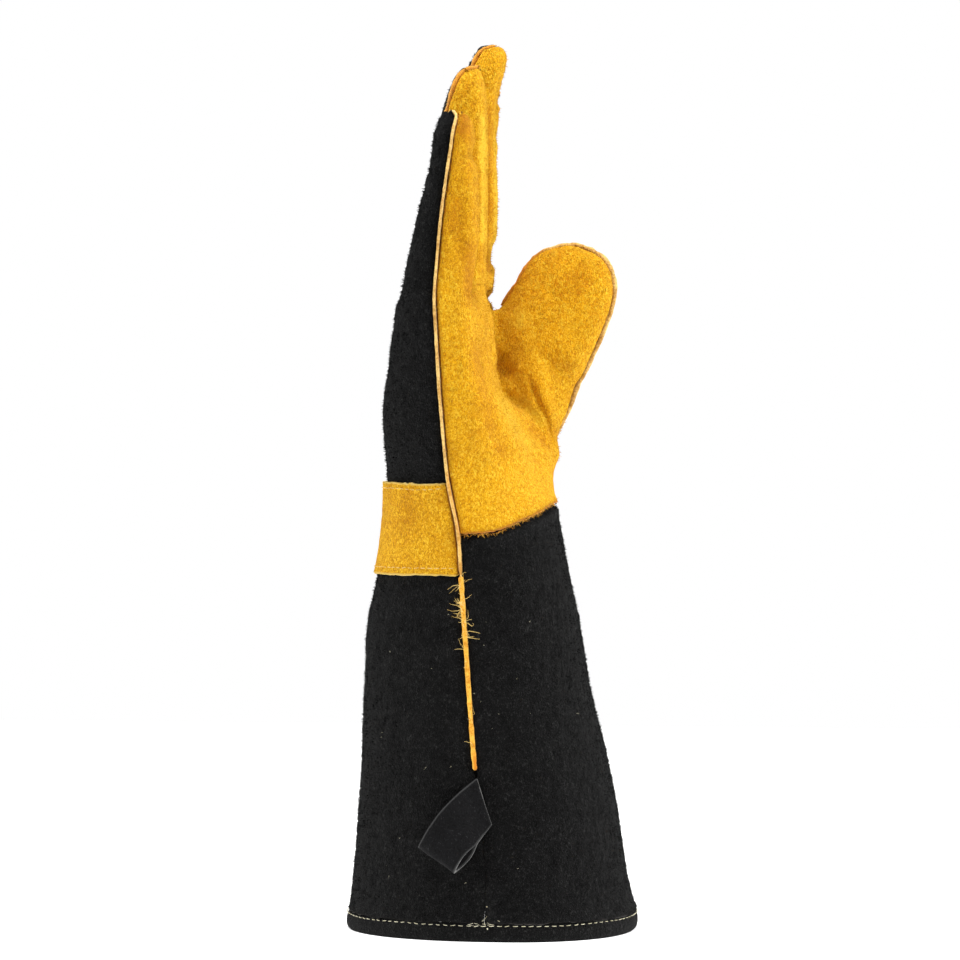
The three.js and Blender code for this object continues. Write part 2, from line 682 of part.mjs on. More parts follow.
const thumbSeam = [
  ...thumb.all.slice(1).map((ring) => ring[0]),
  ...thumb.top.slice(1, -1),
  ...thumb.all.map((ring) => ring[nearCount]).reverse(),
  ...handRings
    .slice(4, -1)
    .map((ring) => ring[COLUMN.thumb])
    .reverse(),
];
const pipingSeam = cuffRings.slice(loopTop, bandRow + 1).map((ring) => ring[COLUMN.ulnar]);
const welted = new Set([...handSeam, ...thumbSeam, ...ulnarRing]);
const tightTurns = fingerParts.flatMap(({ all, top, seamLow, seamHigh }) => [
  ...top,
  all[0][seamLow],
  all[0][seamHigh],
  all[1][seamLow],
  all[1][seamHigh],
]);
const atTurns = new Set(tightTurns);

// A piece of the skin as a closed sheet: outer faces, the same faces pushed in, and walls at the borders.
// sink moves a point inward before the sheet is made.
function sheet(faces, thick, sink = () => 0) {
  const used = [...new Set(faces.flat())];
  const edges = new Map();
  faces.forEach((face) => {
    const n = faceNormal(face);
    face.forEach((v, i) => {
      const w = face[(i + 1) % face.length];
      if (edges.has(`${w}_${v}`)) edges.delete(`${w}_${v}`);
      else edges.set(`${v}_${w}`, [v, w, n]);
    });
  });
  const inward = new Map();
  edges.forEach(([v, w, n]) => {
    const way = unit(minus(skin.points[w], skin.points[v]));
    [v, w].forEach((end) => {
      const side = unit(cross(n, way));
      const other = inward.get(end);
      const turn = other ? Math.max(0.5, 1 + dot(other, side)) : 1;
      inward.set(end, other ? add(other, side).map((k) => k / turn) : side);
    });
  });
  const outer = new Map();
  const inner = new Map();
  const points = [];
  used.forEach((v) => {
    const n = skin.normals[v];
    let p = add(skin.points[v], n, -sink(v));
    if (inward.has(v)) {
      const seamGap = atTurns.has(v) ? TIP_SEAM_GAP : WELT_SEAM_GAP;
      const gap = welted.has(v) ? seamGap : PLAIN_SEAM_GAP;
      p = add(p, inward.get(v), gap / 2);
    }
    outer.set(v, points.push(p) - 1);
    inner.set(v, points.push(add(p, n, -thick)) - 1);
  });
  const triangles = [];
  const fan = (loop) => {
    for (let k = 1; k + 1 < loop.length; k += 1) triangles.push([loop[0], loop[k], loop[k + 1]]);
  };
  faces.forEach((face) => {
    fan(face.map((v) => outer.get(v)));
    fan([face[0], ...face.slice(1).reverse()].map((v) => inner.get(v)));
  });
  edges.forEach(([v, w]) => fan([outer.get(w), outer.get(v), inner.get(v), inner.get(w)]));
  return { points, triangles };
}

// A strip of leather standing in a seam.
function strip(seam, wide, proud, deep) {
  const points = [];
  const triangles = [];
  const corners = [
    [-0.5, -deep],
    [0.5, -deep],
    [0.5, proud * 0.7],
    [0.2, proud],
    [-0.2, proud],
    [-0.5, proud * 0.7],
  ];
  const count = corners.length;
  seam.forEach((v, i) => {
    const before = skin.points[seam[Math.max(0, i - 1)]];
    const after = skin.points[seam[Math.min(seam.length - 1, i + 1)]];
    const way = unit(minus(after, before));
    const side = unit(cross(way, skin.normals[v]));
    const out = unit(cross(side, way));
    const pull = i === 0 ? PIECE_GAP : i === seam.length - 1 ? -PIECE_GAP : 0;
    corners.forEach(([a, b]) => {
      points.push(add(add(add(skin.points[v], side, a * wide), out, b), way, pull));
    });
    if (i === 0) return;
    corners.forEach((_, k) => {
      const here = i * count;
      const next = (k + 1) % count;
      const low = here - count;
      triangles.push([low + k, low + next, here + next], [low + k, here + next, here + k]);
    });
  });
  const end = points.length - count;
  for (let k = 1; k + 1 < count; k += 1) {
    triangles.push([0, k + 1, k], [end, end + k, end + k + 1]);
  }
  return { points, triangles };
}

const facesOf = (piece) => skin.faces.filter((f) => f.piece === piece).map((f) => f.face);

// The cuff's palm half goes on under the palm's lower edge.
const stepFrom = (ring, next, far) =>
  ring.map((v, c) => {
    const way = minus(skin.points[next[c]], skin.points[v]);
    const w = place(add(skin.points[v], unit(way), far));
    skin.normals[w] = unit(mixPoint(skin.normals[v], skin.normals[next[c]], far / Math.hypot(...way)));
    return w;
  });
const lapRing = stepFrom(edgeRing, handRings[1], LAP_HIGH);
const underRing = stepFrom(edgeRing, cuffRings[bandRow], LIP_DROP);
const palmColumns = Array.from({ length: COLUMN.radial }, (_, c) => c);
const cuffPalmFaces = [
  ...facesOf("cuff_palm").filter((face) => !face.some((v) => edgeRing.includes(v))),
  ...palmColumns.flatMap((c) => {
    const rings = [cuffRings[bandRow], underRing, edgeRing, lapRing];
    return rings.slice(1).map((ring, i) => [rings[i][c], rings[i][c + 1], ring[c + 1], ring[c]]);
  }),
];
welted.add(lapRing[0]);
welted.add(underRing[0]);
const tucked = new Set([...lapRing, ...edgeRing]);
const LAP_DEEP = PANEL_THICK + PIECE_GAP;
const lip = new Set(underRing.filter((_, c) => c > COLUMN.heel && c < COLUMN.radial));
const tuckOf = (v) => {
  if (lip.has(v)) return -LIP_PROUD;
  return tucked.has(v) ? LAP_DEEP : 0;
};

// Wrist band over the back, from seam to seam.
const bandColumns = Array.from({ length: AROUND - COLUMN.radial }, (_, k) => COLUMN.radial + k);
const bandFaces = bandColumns.flatMap((c) => {
  const rings = [cuffRings[bandRow], edgeRing, handRings[1]].map(close);
  return rings.slice(1).map((ring, i) => [rings[i][c], rings[i][c + 1], ring[c + 1], ring[c]]);
});
const bandSink = () => -(BAND_THICK + PIECE_GAP);

// Hem: a thick turned ring with a flat foot.
function hemSolid() {
  const low = ringAtHeight(0);
  const high = ringAtHeight(HEM_HIGH);
  const out = low.map((p, c) => {
    const before = low[(c + AROUND - 1) % AROUND];
    const after = low[(c + 1) % AROUND];
    return unit(cross(minus(after, before), UP));
  });
  const profile = [
    [0, -0.9],
    [0.14, 0],
    [0.42, HEM_PROUD],
    [0.8, HEM_PROUD],
    [1, 0.2],
    [1, HEM_PROUD - HEM_THICK],
    [0, HEM_PROUD - HEM_THICK],
  ];
  const points = low.flatMap((p, c) =>
    profile.map(([t, off]) => add(mixPoint(p, high[c], t), out[c], off - HEM_PROUD * 0.6)),
  );
  const triangles = [];
  const size = profile.length;
  low.forEach((_, c) => {
    profile.forEach((__, k) => {
      const next = (k + 1) % size;
      const here = c * size;
      const there = ((c + 1) % AROUND) * size;
      triangles.push([here + k, there + k, there + next], [here + k, there + next, here + next]);
    });
  });
  return { points, triangles };
}

// How far out the cuff's little-finger side lies at x and z.
function cuffSide(x, z) {
  const ulnar = tabled(CUFF, "z", z, "ulnar");
  const reach = x > ulnar ? tabled(CUFF, "z", z, "front") - ulnar : ulnar - tabled(CUFF, "z", z, "back");
  const out = Math.abs(x - ulnar) / reach;
  return tabled(CUFF, "z", z, "side") * (1 - out ** SECTION_POWER) ** (1 / SECTION_POWER);
}

// Hang loop: a strap that leaves the seam, turns back on itself and lies against the cuff. along is the
// share of the way from the seam to the fold, lift the height over the cuff.
function loopSolid() {
  const half = LOOP_STRAP_THICK / 2;
  const low = LOOP_CLEAR + half;
  const high = low + LOOP_STRAP_THICK + LOOP_EYE;
  const path = [
    { along: 0, lift: low },
    { along: 0.25, lift: low + 0.1 },
    { along: 0.5, lift: low },
    { along: 0.72, lift: low },
    { along: 0.88, lift: low + 0.1 },
    { along: 0.97, lift: low + 1.2 },
    { along: 1, lift: (low + high) / 2 },
    { along: 0.97, lift: high - 1.2 },
    { along: 0.88, lift: high - 0.1 },
    { along: 0.72, lift: high },
    { along: 0.5, lift: high - 0.6 },
    { along: 0.25, lift: low + LOOP_STRAP_THICK + LOOP_EYE * 0.42 },
    { along: 0.1, lift: low + LOOP_STRAP_THICK + 0.9 },
    { along: 0, lift: low + LOOP_STRAP_THICK + 0.4 },
  ];
  const at = (along, across) => {
    const seam = mixPoint(LOOP.seamTop, LOOP.seamLow, across);
    return mixPoint(seam, mixPoint(LOOP.foldTop, LOOP.foldLow, across), along);
  };
  const reach = Math.hypot(...minus(at(1, 0.5), at(0, 0.5)));
  const points = path.flatMap(({ along, lift }, i) => {
    const before = path[Math.max(0, i - 1)];
    const after = path[Math.min(path.length - 1, i + 1)];
    const way = [(after.along - before.along) * reach, after.lift - before.lift];
    const size = Math.hypot(...way);
    return LOOP_ACROSS.flatMap((across) =>
      [-half, half].map((off) => {
        const [x, z] = at(along - (way[1] / size) * (off / reach), across);
        const [hugX, hugZ] = at(Math.min(along, 1), across);
        return [x, -cuffSide(hugX, hugZ) - lift - (way[0] / size) * off, z];
      }),
    );
  });
  const width = LOOP_ACROSS.length;
  const ring = [
    ...LOOP_ACROSS.map((_, k) => 2 * k),
    ...LOOP_ACROSS.map((_, k) => 2 * (width - 1 - k) + 1),
  ];
  const triangles = path.slice(1).flatMap((_, i) =>
    ring.flatMap((corner, k) => {
      const next = ring[(k + 1) % ring.length];
      const here = i * 2 * width;
      const there = here + 2 * width;
      return [
        [here + corner, here + next, there + next],
        [here + corner, there + next, there + corner],
      ];
    }),
  );
  const end = (path.length - 1) * 2 * width;
  for (let k = 0; k + 1 < width; k += 1) {
    const [a, b, c, d] = [2 * k, 2 * k + 1, 2 * k + 3, 2 * k + 2];
    triangles.push([a, b, c], [a, c, d], [end + a, end + c, end + b], [end + a, end + d, end + c]);
  }
  return { points, triangles };
}

const volumeOf = ({ points, triangles }) =>
  triangles.reduce((sum, [a, b, c]) => sum + dot(points[a], cross(points[b], points[c])) / 6, 0);

const group = new THREE.Group();
function addPiece(name, solid, colour, roughness) {
  const flip = volumeOf(solid) < 0;
  const geometry = new THREE.BufferGeometry();
  geometry.setAttribute("position", new THREE.BufferAttribute(new Float32Array(solid.points.flat()), 3));
  geometry.setIndex(solid.triangles.flatMap(([a, b, c]) => (flip ? [a, c, b] : [a, b, c])));
  geometry.computeVertexNormals();
  const material = new THREE.MeshStandardMaterial({ color: colour, roughness, metalness: 0 });
  const mesh = new THREE.Mesh(geometry, material);
  mesh.name = name;
  group.add(mesh);
}

addPiece("palm_panel", sheet(facesOf("palm_panel"), PANEL_THICK), COLOURS.yellow, 0.92);
addPiece("ring_finger_front", sheet(facesOf("ring_finger_front"), PANEL_THICK), COLOURS.yellow, 0.92);
addPiece("middle_finger_front", sheet(facesOf("middle_finger_front"), PANEL_THICK), COLOURS.yellow, 0.92);
addPiece("back_panel", sheet(facesOf("back_panel"), PANEL_THICK), COLOURS.black, 0.95);
addPiece("thumb_back", sheet(facesOf("thumb_back"), PANEL_THICK), COLOURS.yellow, 0.92);
addPiece("wrist_band", sheet(bandFaces, BAND_THICK, bandSink), COLOURS.yellow, 0.92);
addPiece("cuff_palm", sheet(cuffPalmFaces, CUFF_THICK, tuckOf), COLOURS.black, 0.95);
addPiece("cuff_back", sheet(facesOf("cuff_back"), CUFF_THICK), COLOURS.black, 0.95);
addPiece("cuff_hem", hemSolid(), COLOURS.black, 0.95);
addPiece("hand_welt", strip(handSeam, WELT_WIDE, WELT_PROUD, WELT_DEEP), COLOURS.cream, 0.9);
addPiece("thumb_welt", strip(thumbSeam, WELT_WIDE, WELT_PROUD, WELT_DEEP), COLOURS.cream, 0.9);
addPiece("cuff_piping", strip(pipingSeam, WELT_WIDE, WELT_PROUD, WELT_DEEP), COLOURS.gold, 0.9);
addPiece("hang_loop", loopSolid(), COLOURS.charcoal, 0.8);

// The origin lies on the floor under the middle of the whole glove, hang loop included.
const reach = new THREE.Box3().setFromObject(group);
group.position.set(-(reach.min.x + reach.max.x) / 2, -(reach.min.y + reach.max.y) / 2, -reach.min.z);

export default group;
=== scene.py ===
import logging
import math
from dataclasses import dataclass, replace
from enum import Enum
from functools import cache
from typing import NamedTuple

import bpy
import numpy as np
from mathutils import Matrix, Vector


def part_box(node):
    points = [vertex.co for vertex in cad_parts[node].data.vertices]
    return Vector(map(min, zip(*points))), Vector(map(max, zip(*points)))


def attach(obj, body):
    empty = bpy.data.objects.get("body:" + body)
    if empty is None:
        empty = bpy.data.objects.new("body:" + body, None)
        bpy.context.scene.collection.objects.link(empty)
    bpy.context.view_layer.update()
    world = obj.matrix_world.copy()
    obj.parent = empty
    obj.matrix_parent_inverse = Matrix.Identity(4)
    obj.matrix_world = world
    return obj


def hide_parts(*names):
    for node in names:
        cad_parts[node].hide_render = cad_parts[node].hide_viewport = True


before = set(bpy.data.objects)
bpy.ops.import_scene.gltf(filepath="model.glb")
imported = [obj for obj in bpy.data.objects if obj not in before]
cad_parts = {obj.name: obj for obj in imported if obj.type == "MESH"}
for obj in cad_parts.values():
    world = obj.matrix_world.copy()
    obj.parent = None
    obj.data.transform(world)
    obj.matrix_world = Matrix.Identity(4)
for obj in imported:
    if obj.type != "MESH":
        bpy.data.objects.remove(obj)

# Right-hand suede barbecue glove that stands on its cuff. Sizes are millimetres, turned into metres when a
# mesh is made. +Z runs up the fingers, +X out of the palm and +Y to the thumb side.

log = logging.getLogger("glove")
MM = 0.001
Array = np.ndarray
Pair = tuple[float, float]
Colour = tuple[int, int, int]
Socket = bpy.types.NodeSocket

# Thickness of the leathers, and the band's height over the skin.
PANEL_THICK = 1.9
CUFF_THICK = 1.8
BAND_THICK = 1.6
BAND_LIFT = 1.95

# What each kind of seam leaves free, and how far from it the leather gives way.
WELT_SEAM_GAP = 1.7
PLAIN_SEAM_GAP = 0.03
RAW_EDGE_GAP = 0.6
EDGE_PULL = 5.0

# The hem's height, how far it stands out, and its thickness.
HEM_HIGH = 7.9
HEM_PROUD = 0.9
HEM_THICK = 3.9

BELOW_BAND = 140.0
BAND_LOW = 162.0
BAND_TOP = 205.0
PIPING_LOW = 76.0
BAND_SIDE_TOP = 213.0
BAND_SIDE_SOFT = 8.0

# Exponents of the superellipses: 2 is an ellipse, and more is squarer.
SECTION_POWER = 2.25
FINGER_POWER = 3.0
THUMB_POWER = 2.5

SMOOTHING = 3
LIMIT_ROUNDS = 2
LIMIT_STEP = 0.9

# Spacing of points along folds, strips, threads' rows and fuzzy tips.
READ_STEP = 0.4
STRIP_STEP = 0.8
THREAD_STEP = 0.5
FUZZ_STEP = 0.3

NO_BORDER = 50.0
NOWHERE = 1000.0
BLOCK_SIZE = 20_000_000

# The side view's turn in degrees.
VIEW_TURN = 8.0


class Piece(Enum):
    """The leather pieces that are cut from the sewn skin, with their place in the net's tags."""

    PALM = 0
    RING_FRONT = 1
    MIDDLE_FRONT = 2
    BACK = 3
    THUMB_BACK = 4
    CUFF_PALM = 5
    CUFF_BACK = 6
    BAND = 7


class Border(Enum):
    """What a piece's edge meets."""

    WELT = 0
    PLAIN = 1
    RAW = 2


class Region(Enum):
    """Stretches of the skin that a second layer covers."""

    OPEN = 0
    LAP = 1
    BAND = 2


class Line(NamedTuple):
    """A named line up the glove.

    It has the mesh columns up to the next line, its turns in degrees at the hem and the wrist, and the
    height at which the hand's panels end on it.
    """

    name: str
    columns: int
    hem_turn: float
    wrist_turn: float
    edge: float


LINES = (
    Line("ulnar", 2, 0, 0, 180),
    Line("heel", 2, 18, 22, 181),
    Line("little", 4, 36, 46, 187),
    Line("centre", 4, 64, 80, 194),
    Line("valley", 3, 90, 103, 196),
    Line("near", 3, 108, 118, 197),
    Line("thumb", 3, 126, 132, 198),
    Line("far", 3, 144, 147, 199),
    Line("web", 3, 162, 163, 199),
    Line("radial", 2, 180, 180, 197),
    Line("back_index", 4, 212, 216, 189),
    Line("back_middle", 4, 270, 270, 184),
    Line("back_little", 2, 328, 324, 181),
)

# Where each line passes, as x, y, z, at the four levels between the panels' lower edge and the thumb's fork.
HAND = {
    "ulnar": ((-13.8, -45.6, 205), (-16, -50.4, 235), (-17.2, -53.4, 259), (-18.4, -55, 284)),
    "heel": ((4, -40.8, 212), (1.8, -46.6, 236), (-3, -50, 260), (-5.4, -51, 284)),
    "little": ((14.6, -29.4, 214), (8, -37, 236), (0.5, -37, 259), (-0.8, -36, 282)),
    "centre": ((21, -3, 214), (9, -2, 235), (2, -3, 260), (-0.8, 0, 284)),
    "valley": ((26.8, 13, 215), (15, 14.6, 236), (2.2, 16.4, 248), (-3, 18.5, 284)),
    "near": ((28.4, 22, 214), (25.6, 17, 232), (20.5, 14.6, 246), (17.4, 15.8, 266)),
    "thumb": ((22, 35.5, 212), (27.4, 30.5, 226), (32.2, 29, 237), (36, 29.4, 249)),
    "far": ((12, 43.5, 212), (21, 42, 230), (21, 43.2, 247), (17.4, 43.4, 266)),
    "web": ((-4, 47.5, 212), (2, 50, 237), (-2, 51, 260), (-7, 50.2, 284)),
    "radial": ((-24.4, 45.6, 207), (-27, 50.4, 236), (-29.5, 52, 260), (-30.5, 52.4, 285)),
    "back_index": ((-41, 32, 205), (-41, 36, 236), (-38.6, 38, 260), (-36.8, 38, 284)),
    "back_middle": ((-47.4, 1, 205), (-47.8, 1, 236), (-43.8, 1, 260), (-41, 0.5, 284)),
    "back_little": ((-39, -33, 205), (-40, -38, 236), (-37.2, -41, 260), (-35.4, -42, 283)),
}


def cubic(s: Array, span: Array, ends: tuple[Array, Array], slopes: tuple[Array, Array]) -> Array:
    """A cubic between two ends: their eased mean, plus each end's slope, faded out towards the other.

    Args:
        s: share of the way, 0 to 1.
        span: length of the way.
        ends: the values at both ends.
        slopes: the slopes at both ends.

    Returns:
        The values at s.
    """
    keep = 1 + s * s * (2 * s - 3)
    lead = s * (1 - s) ** 2 * span * slopes[0]
    tail = s * s * (s - 1) * span * slopes[1]
    return keep * ends[0] + (1 - keep) * ends[1] + lead + tail


def along(knots: Array, values: Array, at: Array) -> Array:
    """Smooth values between knots: cubic pieces whose slope at a knot is the weighted mean of both sides'.

    Args:
        knots: places of the values, rising.
        values: one value, or one row of values, at each knot.
        at: places to read.

    Returns:
        A value or row for each place.
    """
    knots = np.asarray(knots, float)
    values = np.asarray(values, float)
    shape = np.shape(at) + values.shape[1:]
    place = np.clip(np.ravel(np.asarray(at, float)), knots[0], knots[-1])
    i = np.clip(np.searchsorted(knots, place, side="right") - 1, 0, len(knots) - 2)
    spread = (slice(None),) + (None,) * (values.ndim - 1)
    gaps = np.diff(knots)[spread]
    rise = np.diff(values, axis=0) / gaps
    slope = np.empty_like(values)
    slope[0] = rise[0]
    slope[-1] = rise[-1]
    slope[1:-1] = (rise[1:] * gaps[:-1] + rise[:-1] * gaps[1:]) / (gaps[1:] + gaps[:-1])
    span = (knots[i + 1] - knots[i])[spread]
    s = (place - knots[i])[spread] / span
    return cubic(s, span, (values[i], values[i + 1]), (slope[i], slope[i + 1])).reshape(shape)


class Table:
    """Rows of sizes under named columns, of which the first is looked up."""

    def __init__(self, names: str, *rows: tuple[float, ...]) -> None:
        """Takes the columns' names, with a space between them, and the rows."""
        self.names = names.split()
        self.rows = rows
        self.data = np.array(rows, float)

    def at(self, where: Array) -> list[Array]:
        """The other columns, read smoothly where the first has the given values."""
        return [along(self.data[:, 0], column, where) for column in self.data[:, 1:].T]

    def end(self, column: str, row: int = 0) -> float:
        """The named column's value in the first row, or in row -1, the last."""
        return float(self.data[row, self.names.index(column)])


# The cuff at each height: x of its back and palm side, half its width, and x of its two seams.
CUFF = Table(
    "z back front side ulnar radial",
    (0, -66.8, 67, 58, 6.2, 2),
    (8, -65.6, 66, 57.5, 6, 1.5),
    (24, -63.7, 61.6, 56.6, 5.4, 0.5),
    (45, -61.6, 58.8, 55.4, 3.6, -1.5),
    (67, -60, 55.1, 53.8, 0.6, -3.5),
    (95, -59.2, 48.4, 51.6, -2.2, -6),
    (130, -57.2, 41.2, 48.6, -5.1, -9.5),
    (150, -55.4, 38, 46.8, -6.8, -13),
    (162, -51.8, 35.4, 45.6, -7.8, -16),
    (182, -49, 30.1, 44.2, -9.4, -20),
    (205, -47.6, 27.8, 43.8, -13, -24),
)

# The fingers at each height: x of back and palm side, y of the middle, half the width, and x of the seam.
FINGER_NAMES = "z back front mid half seam"
LITTLE = Table(
    FINGER_NAMES,
    (290, -36, -3, -41.8, 12.9, -18.3),
    (317, -30.2, -0.4, -42.6, 12.6, -16),
    (345, -22.6, -1, -43.6, 12, -12.2),
    (358, -19.9, -2, -44.1, 11.2, -10.2),
    (364, -18.2, -3, -44.3, 9.8, -9.4),
    (367.4, -16.6, -4.6, -44.4, 7.2, -9),
)
RING = Table(
    FINGER_NAMES,
    (294, -39.4, -0.8, -14.1, 12.9, 0),
    (330, -30.4, -0.4, -14.5, 12.5, 0),
    (365, -21.7, -0.6, -15, 12, 0),
    (379, -18, -0.8, -15.2, 11.3, 0),
    (387, -15, -1.6, -15.3, 9.8, 0),
    (390.6, -12.4, -3, -15.4, 7.4, 0),
)
MIDDLE = Table(
    FINGER_NAMES,
    (296, -40.2, -2.6, 13.7, 12.9, 0),
    (335, -29.6, 0.4, 14.2, 12.5, 0),
    (375, -18, -0.6, 14.8, 12, 0),
    (391, -14, 2.4, 15, 11.2, 0),
    (399, -11.6, 4.6, 15.1, 9.8, 0),
    (403.6, -8.8, 4.2, 15.2, 7.4, 0),
)
INDEX = Table(
    FINGER_NAMES,
    (296, -38, -5.4, 40.9, 12.7, 0),
    (330, -29, -3.6, 41.4, 12.4, 0),
    (362, -20.6, -4, 42, 11.8, 0),
    (375, -16.6, -1.8, 42.3, 11.2, 0),
    (384, -13.2, -2.8, 42.4, 9.6, 0),
    (387.6, -10.8, -4.4, 42.5, 7.2, 0),
)

# The thumb's rows: its inner and outer edge in side view, y of its middle, and half its width.
THUMB = Table(
    "row inner_x inner_z outer_x outer_z mid half",
    (0, -2.2, 282.6, 36, 249, 29.6, 13.4),
    (1, 3.4, 290.4, 42, 261, 30.4, 13),
    (2, 7.6, 297, 47.4, 272.6, 31.2, 12.6),
    (3, 12, 304.4, 51.8, 284, 31.8, 12),
    (4, 17.6, 310.6, 53.4, 293.6, 32.2, 10.8),
    (5, 24.8, 313.8, 52, 301.4, 32.5, 8.8),
    (6, 32, 314.8, 48.4, 307.2, 32.6, 6),
)

# The lines between the fingers, from the palm side to the back.
FORKS = Table(
    "y palm_x palm_z back_x back_z",
    (-28, -5.6, 293, -31.6, 296),
    (-0.2, -4.6, 299, -32.6, 300),
    (27.4, -6.4, 297, -31.8, 298),
)

# Degrees round the fingers and thumb of their columns, and where the rows lie.
WALL_TURNS = (-135, -105, -75)
FRONT_TURNS = (-45, -22, 0, 22)
FAR_WALL_TURNS = (45, 75, 105)
BACK_TURNS = (135, 165, 195)
LITTLE_FRONT_TURNS = (-90, -60, -26, 10)
LITTLE_BACK_TURNS = (135, 178, 222)
THUMB_NEAR_TURNS = (150, 132, 112, 92, 62, 32)
THUMB_WEB_TURNS = (-163, 180, 163)
FINGER_ROWS = (0.07, 0.18, 0.31, 0.45, 0.59, 0.72, 0.83, 0.92, 1)
THUMB_ROWS = (0.5, 1, 1.7, 2.4, 3.1, 3.8, 4.6, 5.3, 6)
CUFF_ROWS = (8, 24, 40, 58, PIPING_LOW, 100, 122, 143, BAND_LOW)
HAND_ROWS = (1, 1.34, 1.67, 2, 2.34, 2.67, 3, 3.34, 3.67, 4)

FINGER_TIP_RISE = 2.9
FINGER_TIP_FORWARD = 5.5
THUMB_TIP_RISE = 1.6
TIP_ROUND = 0.7

FINGER_START = 3.0
THUMB_FORK_OUT = 1.2
THUMB_FORK_DIP = 1.6
SADDLE_STEPS = 4
FORK_STEPS = 3
SLOPE_PART = 16
SKIN_TOP = 999.0

# Mesh columns of every line, where each starts, and all columns round the glove.
STEPS = np.array([line.columns for line in LINES])
STARTS = np.concatenate(([0], np.cumsum(STEPS)))
AROUND = int(STARTS[-1])
COLUMN = {line.name: int(STARTS[i]) for i, line in enumerate(LINES)}
HEM_TURNS, WRIST_TURNS, EDGES = np.array([line[2:] for line in LINES], float).T


def ease(t: Array) -> Array:
    """The smooth step: 0 below 0, 1 above 1, three t squared less two t cubed between."""
    s = np.clip(t, 0, 1)
    return s * s * (3 - 2 * s)


def between(first: Array, second: Array, share: Array | float) -> Array:
    """The mean of two arrays, the second with weight share and the first with the rest."""
    return first * (1 - share) + second * share


def bell(distance: Array, reach: Array | float) -> Array:
    """A bell curve: e to the power of minus the square of the distance over the reach."""
    return np.exp(-((distance / reach) ** 2))


def within(value: Array, low: float, high: float, soft: float) -> Array:
    """1 between low and high and 0 outside, with an eased step of the width soft inside both ends."""
    return ease((value - low) / soft) * ease((high - value) / soft)


def beside_band(path: Array) -> Array:
    """1 beside the wrist band and lower, 0 higher up, eased between."""
    return ease((BAND_SIDE_TOP - path[:, 2]) / BAND_SIDE_SOFT)


def rounded(degrees: Array, n: float) -> tuple[Array, Array]:
    """A turn's cosine and sine on a superellipse: their size to the power 2 / n, with the sign kept."""
    angle = np.radians(degrees)
    cosine, sine = (np.sign(v) * np.abs(v) ** (2 / n) for v in (np.cos(angle), np.sin(angle)))
    return cosine, sine


def unit(v: Array) -> Array:
    """Vectors of length one along the last axis."""
    return v / np.maximum(np.linalg.norm(v, axis=-1, keepdims=True), 1e-9)


def over_columns(values: Array, wrap: float = 0.0) -> Array:
    """One value per named line, spread evenly over the mesh columns between the lines."""
    closed = np.append(values, values[0] + wrap)
    return np.interp(np.arange(AROUND), STARTS, closed)


def cuff_points(turn: Array, z: Array) -> Array:
    """The cuff's section: a superellipse whose palm half and back half have their own depth from the seams.

    Args:
        turn: degrees round it, 0 at the little-finger seam and 90 at the palm side.
        z: heights.

    Returns:
        Points.
    """
    turn, z = np.broadcast_arrays(np.asarray(turn, float), np.asarray(z, float))
    back, front, side, ulnar, radial = CUFF.at(np.minimum(BAND_TOP, z))
    cosine, out = rounded(turn, SECTION_POWER)
    across = -cosine
    seam = ulnar + (radial - ulnar) * (across + 1) / 2
    reach = np.where(out > 0, front - seam, seam - back)
    return np.stack([seam + out * reach, across * side, z], -1)


def line_turns(z: float) -> Array:
    """The turn of every named line at a height on the cuff."""
    return HEM_TURNS + (WRIST_TURNS - HEM_TURNS) * ease(z / BAND_LOW)


def ring_at_height(z: float) -> Array:
    """The cuff's ring of mesh columns at a height."""
    return cuff_points(over_columns(line_turns(z), 360), z)


def ring_at_edge() -> Array:
    """The ring where the hand's panels end over the cuff."""
    return cuff_points(over_columns(WRIST_TURNS, 360), over_columns(EDGES))


def ring_at_level(level: float) -> Array:
    """The hand's ring at a level: named points joined by a closed smooth curve, cubic between the points.

    Args:
        level: 0 at the panels' lower edge, 4 at the thumb's fork.

    Returns:
        A point for each mesh column.
    """
    wrist = [cuff_points(line_turns(z), z) for z in (BELOW_BAND, BAND_LOW)]
    wrist.append(cuff_points(WRIST_TURNS, EDGES))
    levels = [np.array([HAND[line.name][k] for line in LINES], float) for k in range(4)]
    p = along(np.array([-2, -1, 0, 1, 2, 3, 4]), np.array(wrist + levels), np.array([level]))[0]
    q = np.roll(p, -1, axis=0)
    gap = np.linalg.norm(q - p, axis=1)[:, None]
    before = np.roll(gap, 1, axis=0)
    rise = (q - p) / gap
    slope = (rise * before + np.roll(rise, 1, axis=0) * gap) / (before + gap)
    i = np.repeat(np.arange(len(LINES)), STEPS)
    s = ((np.arange(AROUND) - STARTS[i]) / STEPS[i])[:, None]
    return cubic(s, gap[i], (p[i], q[i]), (slope[i], np.roll(slope, -1, axis=0)[i]))


def finger_ring(table: Table, turns: tuple[float, ...], z: float) -> Array:
    """A finger's section: a superellipse between its back and its front.

    The little finger's first turn is where the section meets its seam.

    Args:
        table: the finger's sizes.
        turns: degrees round it, 0 at the palm side and 90 at the thumb side.
        z: height.

    Returns:
        Points in the order of the turns.
    """
    back, front, mid, half, seam = [float(v) for v in table.at(z)]
    degrees = np.array(turns, float)
    if turns[0] == LITTLE_FRONT_TURNS[0]:
        share = (2 * seam - back - front) / (front - back)
        degrees[0] = -math.degrees(math.acos(math.copysign(abs(share) ** (FINGER_POWER / 2), share)))
    across, side = rounded(degrees, FINGER_POWER)
    x = (back + front) / 2 + (front - back) / 2 * across
    return np.stack([x, mid + half * side, np.full(len(x), z)], -1)


